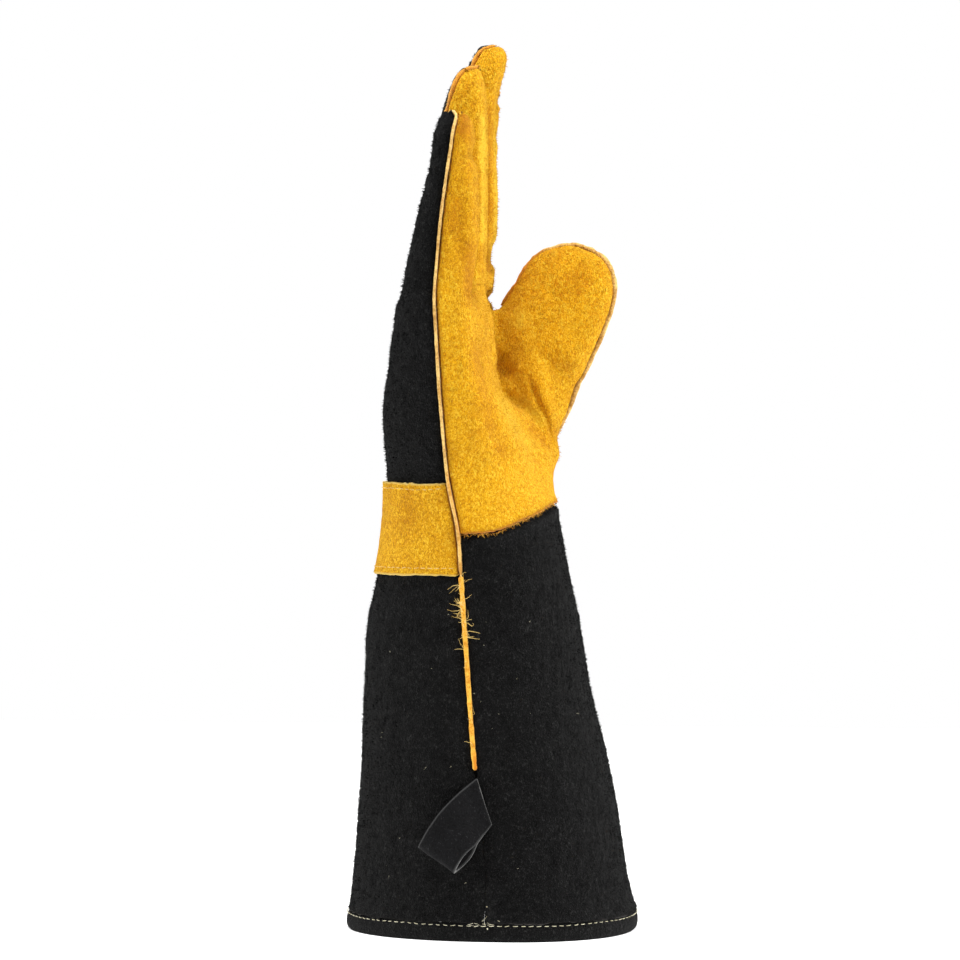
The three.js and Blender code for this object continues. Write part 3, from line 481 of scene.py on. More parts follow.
def thumb_ring(turns: Array, row: float) -> Array:
    """The thumb's section: a superellipse between its inner and its outer edge.

    Args:
        turns: degrees round it, 0 at the outer edge, 90 at the near side and 180 at the index side.
        row: its row of the table, whole or not.

    Returns:
        Points in the order of the turns.
    """
    inner_x, inner_z, outer_x, outer_z, mid, half = [float(v) for v in THUMB.at(row)]
    across, near = rounded(turns, THUMB_POWER)
    t = (across + 1) / 2
    x = inner_x + (outer_x - inner_x) * t
    z = inner_z + (outer_z - inner_z) * t
    return np.stack([x, mid - half * near, z], -1)


class Tube(NamedTuple):
    """A finger's or the thumb's rings of net points, its seam over the tip, and the column it ends at."""

    rings: list[Array]
    tip: Array
    seam_end: int


class SkinNet:
    """The whole outer skin, sewn as one net of points. Every face remembers its piece and its region."""

    def __init__(self) -> None:
        """Builds the net from the cuff to the fingertips."""
        self.points = np.zeros((0, 3))
        self.rise = np.zeros(0)
        self.faces: list[list[int]] = []
        self.tags: list[int] = []
        self._build_cuff()
        self._build_hand()
        self._build_forks()
        self._build_fingers()
        self._build_thumb()

    def place(self, points: Array, rise: Array | float = SKIN_TOP) -> Array:
        """Adds points, with their heights over the panels' lower edge, and gives back their numbers."""
        points = np.atleast_2d(points)
        start = len(self.points)
        self.points = np.concatenate([self.points, points])
        self.rise = np.concatenate([self.rise, np.broadcast_to(rise, len(points))])
        return np.arange(start, start + len(points))

    def face(self, corners: list[int], piece: Piece, region: Region = Region.OPEN) -> None:
        """Adds one face, with repeated corners dropped."""
        kept = list(dict.fromkeys(int(v) for v in corners))
        if len(kept) > 2:
            self.faces.append(kept)
            self.tags.append(piece.value * len(Region) + region.value)

    def weave(
        self, low: Array, high: Array, pieces: list[Piece], regions: list[Region] | None = None
    ) -> None:
        """Joins two rows of net points by a row of faces, a closed one where there are as many as points.

        Args:
            low: numbers of the lower row's points.
            high: numbers of the upper row's.
            pieces: the piece of each face.
            regions: the region of each face, or none where all are open.
        """
        for c, piece in enumerate(pieces):
            after = (c + 1) % len(low)
            region = regions[c] if regions else Region.OPEN
            self.face([low[c], low[after], high[after], high[c]], piece, region)

    def _build_cuff(self) -> None:
        """Rings from the hem up to the panels' lower edge; the wrist band covers the back's last row."""
        edge = ring_at_edge()
        rings = [ring_at_height(z) for z in CUFF_ROWS] + [edge]
        self.cuff_rings = [self.place(ring, ring[:, 2] - edge[:, 2]) for ring in rings]
        sides = [Piece.CUFF_PALM if c < COLUMN["radial"] else Piece.CUFF_BACK for c in range(AROUND)]
        for i, (low, high) in enumerate(zip(self.cuff_rings, self.cuff_rings[1:])):
            covered = i == len(CUFF_ROWS) - 1
            cover = [Region.BAND if covered and s is Piece.CUFF_BACK else Region.OPEN for s in sides]
            self.weave(low, high, sides, cover)

    def _build_hand(self) -> None:
        """Rings from the panels' lower edge to the thumb's fork."""
        edge = self.points[self.cuff_rings[-1]][:, 2]
        rings = [ring_at_level(level) for level in HAND_ROWS]
        self.hand_rings = [self.cuff_rings[-1], *[self.place(ring, ring[:, 2] - edge) for ring in rings]]
        kinds = [Piece.PALM] * COLUMN["thumb"]
        kinds += [Piece.THUMB_BACK] * (COLUMN["radial"] - COLUMN["thumb"])
        kinds += [Piece.BACK] * (AROUND - COLUMN["radial"])
        first = [Region.BAND if kind is Piece.BACK else Region.LAP for kind in kinds]
        for i, (low, high) in enumerate(zip(self.hand_rings, self.hand_rings[1:])):
            self.weave(low, high, kinds, first if i == 0 else None)

    def _base(self, table: Table, turns: tuple[float, ...]) -> Array:
        """Adds points of a finger's lowest section at the given turns."""
        return self.place(finger_ring(table, turns, table.end("z")))

    def _build_forks(self) -> None:
        """The thumb's saddle, the lines between the fingers, and the rows that join them to the hand."""
        fork = self.hand_rings[-1]
        low, high = fork[COLUMN["valley"]], fork[COLUMN["web"]]
        t = np.arange(1, SADDLE_STEPS)[:, None] / SADDLE_STEPS
        swell = np.sin(np.pi * t)
        line = between(self.points[low], self.points[high], t)
        inner = self.place(line + swell * np.array([THUMB_FORK_OUT, 0, -THUMB_FORK_DIP]))
        self.saddle = np.concatenate([[low], inner, [high]])
        share = np.linspace(0, 1, FORK_STEPS + 1)[:, None]
        self.fork_lines = []
        for y, palm_x, palm_z, back_x, back_z in FORKS.rows:
            ends = np.array([[palm_x, y, palm_z], [back_x, y, back_z]])
            self.fork_lines.append(self.place(between(*ends, share)))
        tables = (RING, MIDDLE, INDEX)
        self.little_front = self._base(LITTLE, LITTLE_FRONT_TURNS)
        self.fronts = [self._base(t, FRONT_TURNS[1:]) for t in tables]
        self.index_wall = self._base(INDEX, (*FAR_WALL_TURNS, BACK_TURNS[0]))
        self.backs = [self._base(LITTLE, LITTLE_BACK_TURNS[1:])]
        self.backs += [self._base(t, BACK_TURNS[1:]) for t in tables]
        lines = self.fork_lines
        front_parts = [self.little_front]
        for k in range(3):
            front_parts += [lines[k][:1], self.fronts[k]]
        back_parts = [self.backs[3]]
        for k in (2, 1, 0):
            back_parts += [lines[k][-1:], self.backs[k]]
        top = np.concatenate([*front_parts, self.index_wall, *back_parts])
        low_row = np.concatenate([fork[: COLUMN["valley"]], self.saddle, fork[COLUMN["web"] + 1 :]])
        middle = (self.points[low_row] + self.points[top]) / 2
        column = np.concatenate([np.arange(COLUMN["valley"] + 1), np.arange(COLUMN["web"], AROUND)])
        past = np.arange(COLUMN["valley"] + SADDLE_STEPS, len(top))
        keeps = np.concatenate([np.arange(COLUMN["valley"] + 1), past])
        lean = self.points[fork[column]] - self.points[self.hand_rings[-2][column]]
        climb = self.points[top[keeps]] - self.points[low_row[keeps]]
        middle[keeps] += (lean - climb) / SLOPE_PART
        middle_row = self.place(middle)
        seam = COLUMN["valley"] + SADDLE_STEPS + COLUMN["radial"] - COLUMN["web"]
        kinds = [Piece.PALM if c < seam else Piece.BACK for c in range(len(top))]
        self.weave(low_row, middle_row, kinds)
        self.weave(middle_row, top, kinds)
        self.seam_middle = (middle_row[0], middle_row[seam])
        self.seam_top = (top[0], top[seam])

    def _tube(
        self, rings: list[Array], split: int, pieces: tuple[Piece, Piece], tip_rise: Array, forward: float
    ) -> Tube:
        """A closed-ended tube: its front columns are one piece, the rest another, sewn over the tip.

        Args:
            rings: net rings from its base up, the last under the tip.
            split: how many columns belong to the front.
            pieces: the front's piece and the back's.
            tip_rise: the way and the height that the tip's seam stands over the last ring.
            forward: how far it leans to the palm side.

        Returns:
            The tube.
        """
        front, back = pieces
        count = len(rings[0])
        kinds = [front if c < split else back for c in range(count)]
        for low, high in zip(rings, rings[1:]):
            self.weave(low, high, kinds)
        last = rings[-1]
        t = np.arange(1, split)[:, None] / split
        arch = np.sin(np.pi * t)
        line = between(self.points[last[0]], self.points[last[split]], t)
        tip = line + tip_rise * arch**TIP_ROUND + np.array([forward, 0, 0]) * arch
        seam = np.concatenate([[last[0]], self.place(tip), [last[split]]])
        self.weave(last[: split + 1], seam, [front] * split)
        rear = np.append(last[split:], last[0])
        steps = len(rear) - 1
        share = [split - round(k / steps * split + 1e-9) for k in range(steps + 1)]
        for k in range(steps):
            chain = seam[share[k + 1] : share[k] + 1][::-1]
            half = len(chain) // 2
            self.face([rear[k], rear[k + 1], chain[half]], back)
            for i in range(1, len(chain)):
                self.face([rear[k] if i - 1 < half else rear[k + 1], chain[i], chain[i - 1]], back)
        return Tube(rings, seam, split)

    def _build_fingers(self) -> None:
        """The four fingers."""
        self.fingers = []
        kinds = (Piece.PALM, Piece.RING_FRONT, Piece.MIDDLE_FRONT, Piece.PALM)
        for i, (table, piece) in enumerate(zip((LITTLE, RING, MIDDLE, INDEX), kinds)):
            if i == 0:
                front = self.little_front
                turns = (*LITTLE_FRONT_TURNS, *FAR_WALL_TURNS, *LITTLE_BACK_TURNS)
                split = len(LITTLE_FRONT_TURNS) + len(FAR_WALL_TURNS)
            else:
                line = self.fork_lines[i - 1]
                front = np.concatenate([line[:0:-1], line[:1], self.fronts[i - 1]])
                turns = (*WALL_TURNS, *FRONT_TURNS, *FAR_WALL_TURNS, *BACK_TURNS)
                split = len(WALL_TURNS) + len(FRONT_TURNS) + len(FAR_WALL_TURNS)
            wall = self.index_wall if i == 3 else self.fork_lines[i]
            base = np.concatenate([front, wall, self.backs[i]])
            low = table.end("z") + FINGER_START
            heights = [low + (table.end("z", -1) - low) * t for t in FINGER_ROWS]
            rings = [base, *[self.place(finger_ring(table, turns, z)) for z in heights]]
            forward = 0 if i == 0 else FINGER_TIP_FORWARD
            up = np.array([0, 0, FINGER_TIP_RISE])
            self.fingers.append(self._tube(rings, split, (piece, Piece.BACK), up, forward))

    def _build_thumb(self) -> None:
        """The thumb: its near half belongs to the palm, its far half to the back of the thumb."""
        fork = self.hand_rings[-1]
        base = np.concatenate([fork[COLUMN["valley"] : COLUMN["web"] + 1], self.saddle[-2:0:-1]])
        far = [-turn for turn in THUMB_NEAR_TURNS[:0:-1]]
        turns = np.array([*THUMB_NEAR_TURNS, 0, *far, -THUMB_NEAR_TURNS[0], *THUMB_WEB_TURNS], float)
        start = int(np.argwhere(turns == 180)[0, 0])
        turns = np.roll(turns, -start)
        base = np.roll(base, -start)
        rings = [base, *[self.place(thumb_ring(turns, row)) for row in THUMB_ROWS]]
        inner_x, inner_z, outer_x, outer_z = THUMB.rows[-1][1:5]
        way = unit(np.array([outer_x - inner_x, 0, outer_z - inner_z]))
        axis = np.array([-way[2], 0, way[0]])
        split = len(THUMB_NEAR_TURNS) + 2
        self.thumb = self._tube(rings, split, (Piece.PALM, Piece.THUMB_BACK), axis * THUMB_TIP_RISE, 0)

    def hand_seam(self) -> Array:
        """Net points of the seam round the hand and over the fingertips, from the little-finger side."""
        ulnar, radial = COLUMN["ulnar"], COLUMN["radial"]
        start = [ring[ulnar] for ring in self.cuff_rings[CUFF_ROWS.index(BAND_LOW) :]]
        start += [ring[ulnar] for ring in self.hand_rings[1:]] + [self.seam_middle[0], self.seam_top[0]]
        for i, finger in enumerate(self.fingers):
            start += [ring[0] for ring in finger.rings[1 if i == 0 else 0 :]]
            start += list(finger.tip[1:-1])
            start += [ring[finger.seam_end] for ring in finger.rings[:0:-1]]
        end = [ring[radial] for ring in self.hand_rings] + [self.seam_middle[1], self.seam_top[1]]
        return np.array(start + end[::-1])

    def thumb_seam(self) -> Array:
        """Net points of the seam round the thumb's edge and down the side of its root."""
        thumb = self.thumb
        seam = [ring[0] for ring in thumb.rings[1:]] + list(thumb.tip[1:-1])
        seam += [ring[thumb.seam_end] for ring in thumb.rings[::-1]]
        seam += [ring[COLUMN["thumb"]] for ring in self.hand_rings[:-1][::-1]]
        return np.array(seam)

    def strip_seams(self) -> tuple[Array, Array, Array]:
        """The seams that hold a strip of leather."""
        return self.hand_seam(), self.thumb_seam(), self.piping_seam()

    def piping_seam(self) -> Array:
        """Net points of the cuff's little-finger seam between the loop and the band."""
        rows = slice(CUFF_ROWS.index(PIPING_LOW), CUFF_ROWS.index(BAND_LOW) + 1)
        return np.array([ring[COLUMN["ulnar"]] for ring in self.cuff_rings[rows]])


CELL_MIXERS = (73856093, 19349663, 83492791)
SEED_MIXER = 2654435
LAST_MIXER = 1274126177
LOW_BITS = 0xFFFF


def lattice(cells: Array, seed: int) -> Array:
    """A fixed pseudo-random value from 0 to 1 for each cell, made by mixing its three whole numbers."""
    mixed = seed * SEED_MIXER
    for axis, mixer in enumerate(CELL_MIXERS):
        mixed = mixed ^ (cells[..., axis] * mixer)
    mixed = (mixed ^ (mixed >> 13)) * LAST_MIXER
    return ((mixed ^ (mixed >> 16)) & LOW_BITS) / LOW_BITS


def noise(points: Array, size: float, seed: int = 0) -> Array:
    """Smooth noise from -1 to 1: the lattice's values at a cell's corners, eased between them.

    Args:
        points: places to read.
        size: how wide its lumps are.
        seed: which noise.

    Returns:
        A value for each point.
    """
    at = points / size
    cell = np.floor(at).astype(np.int64)
    t = ease(at - cell)
    total = np.zeros(len(points))
    for corner in np.ndindex(2, 2, 2):
        weight = np.prod(np.where(np.array(corner) == 1, t, 1 - t), axis=1)
        total += weight * lattice(cell + np.array(corner), seed)
    return total * 2 - 1


def nearest(points: Array, targets: Array) -> tuple[Array, Array]:
    """The distance from each point to its nearest target, and that target's number.

    The squared distance is both squared lengths less twice the product of the two.
    """
    distance = np.full(len(points), NOWHERE)
    number = np.zeros(len(points), int)
    if len(targets) == 0:
        return distance, number
    block = max(1, BLOCK_SIZE // len(targets))
    for start in range(0, len(points), block):
        part = points[start : start + block]
        square = (part**2).sum(1)[:, None] + (targets**2).sum(1)[None] - 2 * part @ targets.T
        best = square.argmin(1)
        number[start : start + block] = best
        distance[start : start + block] = np.sqrt(np.maximum(square[np.arange(len(part)), best], 0))
    return distance, number


def vertex_normals(points: Array, quads: Array) -> Array:
    """Unit normals at the points: the sum of the neighbouring faces' diagonal cross products."""
    a, b, c, d = (points[quads[:, k]] for k in range(4))
    face = np.cross(c - a, d - b)
    total = np.zeros_like(points)
    for k in range(4):
        for axis in range(3):
            total[:, axis] += np.bincount(quads[:, k], face[:, axis], len(points))
    return unit(total)


def lengths(path: Array) -> Array:
    """The length of a path up to each of its points."""
    return np.concatenate([[0], np.cumsum(np.linalg.norm(np.diff(path, axis=0), axis=1))])


def open_path(points: Array, spacing: float) -> Array:
    """A smooth path through points, read at an even spacing."""
    length = lengths(points)
    count = max(3, int(round(length[-1] / spacing)) + 1)
    return along(length, points, np.linspace(0, length[-1], count))


def evened(values: Array, reach: int) -> Array:
    """Rows of values smoothed by a moving mean over reach neighbours to each side."""
    padded = np.concatenate([np.repeat(values[:1], reach, 0), values, np.repeat(values[-1:], reach, 0)])
    total = np.concatenate([np.zeros((1, values.shape[1])), np.cumsum(padded, axis=0)])
    width = 2 * reach + 1
    return (total[width:] - total[:-width]) / width


FOLD_SIDE_SOFT = 3.0

# Soft unevenness of the whole skin: height, width of the lumps and seed of each noise.
WAVES = ((0.45, 26, 3), (0.28, 11, 5))

WELT_NEAR = 0.8
SHIFT_EVEN = 3
WAY_EVEN = 5


@dataclass(frozen=True)
class Fold:
    """A fold or ridge in the leather, drawn in the side view as distance across and height.

    Its share at a point is a bell curve of the distance to the path, with its own reach on either side. It
    fades at both ends and keeps to a range of y. The leather sinks by deep times that share, so a negative
    depth is a ridge. Its last value times the share paints shade into the colour, or painted highlight where
    that value is negative; most of these marks are painted shade or highlight, a few are real wear or a raw
    patch.
    """

    path: tuple[Pair, ...]
    deep: float
    left: float
    right: float
    near: float = -80.0
    far: float = 80.0
    fade: Pair = (0.25, 0.25)
    # Painted shade where positive and painted highlight where negative; a few are real wear or a raw patch.
    tone: float = 0.0

    def share(self, points: Array) -> Array:
        """How much of the fold each point takes, 0 to 1."""
        line = open_path(np.array(self.path, float), READ_STEP)
        turn = math.radians(VIEW_TURN)
        flat = np.stack([points[:, 0] * math.cos(turn) + points[:, 1] * math.sin(turn), points[:, 2]], -1)
        distance, number = nearest(flat, line)
        way = np.gradient(line, axis=0)[number]
        off = flat - line[number]
        reach = np.where(way[:, 0] * off[:, 1] > way[:, 1] * off[:, 0], self.left, self.right)
        passed = number / (len(line) - 1)
        ends = ease(passed / self.fade[0]) * ease((1 - passed) / self.fade[1])
        inside = within(points[:, 1], self.near, self.far, FOLD_SIDE_SOFT)
        return ends * inside * bell(distance, reach)


def link(name: str, data: bpy.types.ID) -> bpy.types.Object:
    """Makes an object of a mesh, lamp or camera and links it to the scene."""
    thing = bpy.data.objects.new(name, data)
    bpy.context.scene.collection.objects.link(thing)
    return thing


def read_values(things: object, key: str, width: int = 1, kind: type = np.float32) -> Array:
    """The values under a key of all of a mesh's points, corners or faces, in one row."""
    values = np.empty(len(things) * width, kind)
    things.foreach_get(key, values)
    return values


class Skin:
    """The net made smooth: a fine mesh of quads with each face's piece and region."""

    def __init__(self, net: SkinNet) -> None:
        """Subdivides the net so that its smooth surface passes through the net's own points."""
        self.net = net
        cage = net.points.copy()
        for _ in range(LIMIT_ROUNDS):
            cage += LIMIT_STEP * (net.points - self._limit(cage))
        self.points, self.quads, tags, self.rise = self._subdivided(cage)
        self.still = self.points
        strips = [open_path(net.points[seam], READ_STEP) for seam in net.strip_seams()]
        self.welted = nearest(self.points, np.concatenate(strips))[0] < WELT_NEAR
        self.piece = tags // len(Region)
        self.region = tags % len(Region)
        self.normals = vertex_normals(self.points, self.quads)
        self.tone = np.zeros(len(self.points))
        self.twins = self._twins()

    def _limit(self, cage: Array) -> Array:
        """Where the smooth surface's limit lies for each net point.

        With n neighbours it is the sum of n squared times the point, four times the neighbours and once the
        points across the faces, over n times n plus 5. A point on the net's border stays.
        """
        near, across = set(), []
        for face in self.net.faces:
            for v, after, far in zip(face, face[1:] + face[:1], face[2:] + face[:2]):
                near |= {(v, after), (after, v)}
                across.append((v, far))
        sums = []
        for pairs in (np.array(sorted(near)), np.array(across)):
            total = np.zeros_like(cage)
            np.add.at(total, pairs[:, 0], cage[pairs[:, 1]])
            sums += [total, np.bincount(pairs[:, 0], minlength=len(cage))]
        ring, count, far, faces = sums
        n = count[:, None]
        inner = (n * n * cage + 4 * ring + far) / (n * (n + 5))
        return np.where((faces == count)[:, None], inner, cage)

    def _subdivided(self, cage: Array) -> tuple[Array, Array, Array, Array]:
        """The cage under a subdivision surface, read back as arrays."""
        mesh = bpy.data.meshes.new("skin_net")
        mesh.from_pydata(cage.tolist(), [], self.net.faces)
        mesh.polygons.foreach_set("material_index", np.array(self.net.tags, np.int32))
        layer = mesh.attributes.new("rise", "FLOAT", "POINT")
        layer.data.foreach_set("value", self.net.rise.astype(np.float32))
        thing = link("skin_net", mesh)
        smooth = thing.modifiers.new("smooth", "SUBSURF")
        smooth.levels = smooth.render_levels = SMOOTHING
        smooth.boundary_smooth = "ALL"
        made = thing.evaluated_get(bpy.context.evaluated_depsgraph_get()).to_mesh()
        points = read_values(made.vertices, "co", 3).reshape(-1, 3)
        corners = read_values(made.loops, "vertex_index", kind=np.int32).reshape(-1, 4)
        tags = read_values(made.polygons, "material_index", kind=np.int32)
        rise = read_values(made.attributes["rise"].data, "value")
        bpy.data.objects.remove(thing)
        bpy.data.meshes.remove(mesh)
        return points.astype(float), corners, tags, rise.astype(float)

    def _twins(self) -> Array:
        """For each directed edge of each quad, the face on its other side, or -1."""
        start = self.quads
        end = np.roll(self.quads, -1, axis=1)
        count = len(self.points)
        codes = (start.astype(np.int64) * count + end).ravel()
        reverse = (end.astype(np.int64) * count + start).ravel()
        order = np.argsort(codes)
        found = np.clip(np.searchsorted(codes[order], reverse), 0, len(codes) - 1)
        hit = codes[order][found] == reverse
        return np.where(hit, order[found] // 4, -1).reshape(-1, 4)

    def shape(self, folds: tuple[Fold, ...]) -> None:
        """Presses the folds into the whole skin, with soft unevenness over it, along its normals."""
        shares = [fold.share(self.points) for fold in folds]
        # Each fold's painted shade, or painted highlight where negative, summed over the skin.
        self.tone = sum(fold.tone * share for fold, share in zip(folds, shares))
        lift = -sum(fold.deep * share for fold, share in zip(folds, shares))
        for high, wide, seed in WAVES:
            lift = lift + high * noise(self.points, wide, seed)
        self.points = self.points + self.normals * lift[:, None]
        self.normals = vertex_normals(self.points, self.quads)

    def trace(self, numbers: Array, spacing: float) -> tuple[Array, Array]:
        """A smooth path through net points over the shaped skin, and the skin's normals along it."""
        path = open_path(self.net.points[numbers], spacing)
        close = nearest(path, self.still)[1]
        shift = evened((self.points - self.still)[close], SHIFT_EVEN)
        return path + shift, unit(evened(self.normals[close], WAY_EVEN))

    def follow(self, path: Array) -> tuple[Array, Array]:
        """Drops points near the skin onto it, and gives its normals there."""
        close = nearest(path, self.points)[1]
        out = self.normals[close]
        over = ((path - self.points[close]) * out).sum(1)
        return path - out * over[:, None], unit(evened(out, WAY_EVEN))


class Cut(NamedTuple):
    """A piece cut from the skin: its own points, quads and normals, and the distances to its borders."""

    points: Array
    quads: Array
    normals: Array
    rise: Array
    # Painted shade, or painted highlight where negative, at each point.
    tone: Array
    to_welt: Array
    to_plain: Array
    to_raw: Array


RING_SIDE = -34.0
RING_SIDE_SOFT = 4.0
FINGER_ROOTS = 290.0
FINGER_ROOTS_SOFT = 8.0
BACK_WAY = 0.3
BACK_WAY_SOFT = 0.35


def finger_share(points: Array, normals: Array | None = None) -> Array:
    """1 on the three longer fingers and 0 elsewhere, eased between.

    Args:
        points: places near the skin.
        normals: the ways out of the skin; where they are given, only what faces the back counts.

    Returns:
        A share for each point.
    """
    across = ease((points[:, 1] - RING_SIDE) / RING_SIDE_SOFT)
    share = across * ease((points[:, 2] - FINGER_ROOTS) / FINGER_ROOTS_SOFT)
    return share if normals is None else share * ease((BACK_WAY - normals[:, 0]) / BACK_WAY_SOFT)


GAPS = {Border.WELT: WELT_SEAM_GAP, Border.PLAIN: PLAIN_SEAM_GAP, Border.RAW: RAW_EDGE_GAP}
DARK_SIDE = {Piece.BACK, Piece.CUFF_BACK, Piece.BAND}
CUFF_PIECES = {Piece.CUFF_PALM, Piece.CUFF_BACK}
BACK_SHARE = -0.9
FRONT_SHARE = 0.5
RAW_END_SOFT = 4.0


def border_kind(own: Piece, other: Piece) -> Border:
    """What the border between two pieces is: a welted seam, a plain seam or a raw lapped edge."""
    pair = {own, other}
    if len(pair & DARK_SIDE) == 1 or pair == {Piece.PALM, Piece.THUMB_BACK}:
        return Border.WELT
    if Piece.BAND in pair or len(pair & CUFF_PIECES) == 1:
        return Border.RAW
    return Border.PLAIN


def cut_piece(skin: Skin, faces: Array, own: Piece) -> Cut:
    """Cuts faces out of the skin and draws their borders back to leave room for the seams.

    Points near a border move away from it, less the further they are: the move is half the seam's gap times
    one less the distance over the range.

    Args:
        skin: the smooth skin.
        faces: which of its faces to take.
        own: the piece they belong to.

    Returns:
        The cut piece.
    """
    chosen = np.flatnonzero(faces)
    quads = skin.quads[chosen]
    used, local = np.unique(quads, return_inverse=True)
    local = local.reshape(-1, 4)
    twins = skin.twins[chosen]
    outside = ~faces[twins] | (twins < 0)
    rows, sides = np.nonzero(outside)
    start = local[rows, sides]
    end = local[rows, (sides + 1) % 4]
    points = skin.points[used].copy()
    normals = skin.normals[used]
    way = unit(points[end] - points[start])
    inward = np.zeros_like(points)
    side = np.cross(normals[start], way)
    np.add.at(inward, start, side)
    np.add.at(inward, end, side)
    inward = unit(inward)
    lookup = np.array([border_kind(own, piece).value for piece in Piece])
    beyond = twins[rows, sides]
    kinds = np.where(beyond < 0, Border.RAW.value, lookup[skin.piece[beyond]])
    bare = (kinds == Border.WELT.value) & ~skin.welted[used[start]]
    kinds[bare] = Border.PLAIN.value
    fingers = finger_share(points, normals)
    distances = []
    moved = points.copy()
    for kind in Border:
        rim = np.unique(np.concatenate([start[kinds == kind.value], end[kinds == kind.value]]))
        distance, number = nearest(points, points[rim])
        distances.append(distance)
        if len(rim) == 0:
            continue
        away = unit(points - points[rim[number]])
        away[rim] = inward[rim]
        pull = GAPS[kind] / 2 * np.clip(1 - distance / EDGE_PULL, 0, 1)
        if kind is Border.WELT:
            pull *= 1 + fingers * (BACK_SHARE if own is Piece.BACK else FRONT_SHARE)
        if kind is Border.RAW:
            pull *= ease(distances[Border.PLAIN.value] / RAW_END_SOFT)
        moved += away * pull[:, None]
    return Cut(moved, local, normals, skin.rise[used], skin.tone[used], *distances)


def make_mesh(name: str, points: Array, faces: Array | list[Array], **values: Array) -> bpy.types.Mesh:
    """A smooth-shaded mesh in metres, moved into the frame, with float attributes on its points.

    Args:
        name: the mesh's name.
        points: millimetres.
        faces: rows of point numbers, or groups of such rows where the faces have several sizes.
        values: one number a point for each attribute.

    Returns:
        The mesh.
    """
    mesh = bpy.data.meshes.new(name)
    groups = faces if isinstance(faces, list) else [faces]
    corners = np.concatenate([group.ravel() for group in groups]).astype(np.int32)
    sizes = np.concatenate([np.full(len(group), group.shape[1]) for group in groups])
    mesh.vertices.add(len(points))
    mesh.vertices.foreach_set("co", ((points + FRAME_SHIFT) * MM).astype(np.float32).ravel())
    mesh.loops.add(len(corners))
    mesh.loops.foreach_set("vertex_index", corners)
    mesh.polygons.add(len(sizes))
    mesh.polygons.foreach_set("loop_start", (np.cumsum(sizes) - sizes).astype(np.int32))
    mesh.update(calc_edges=True)
    mesh.shade_smooth()
    for key, value in values.items():
        layer = mesh.attributes.new(key, "FLOAT", "POINT")
        layer.data.foreach_set("value", value.astype(np.float32))
    return mesh


def frame_shift() -> Array:
    """How far the glove's own axes lie from the frame's: the hem's middle in both, on the floor."""
    low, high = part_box("cuff_hem")
    middle = (np.array(low) + np.array(high)) / 2 / MM
    own = (CUFF.end("front") + CUFF.end("back")) / 2
    return np.array([middle[0] - own, middle[1], 0.0])


FRAME_SHIFT = frame_shift()
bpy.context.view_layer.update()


def linear(red: int, green: int, blue: int) -> tuple[float, float, float, float]:
    """A colour from 0 to 255 as shown on a screen, turned into linear values by the usual screen curve."""
    shown = np.array([red, green, blue]) / 255
    values = np.where(shown <= 0.04045, shown / 12.92, ((shown + 0.055) / 1.055) ** 2.4)
    return (*[float(v) for v in values], 1.0)


NOISE_ROUGH = 0.6
DULL = 0.92
GLINT = 0.06
SHEEN_ROUGH = 0.6


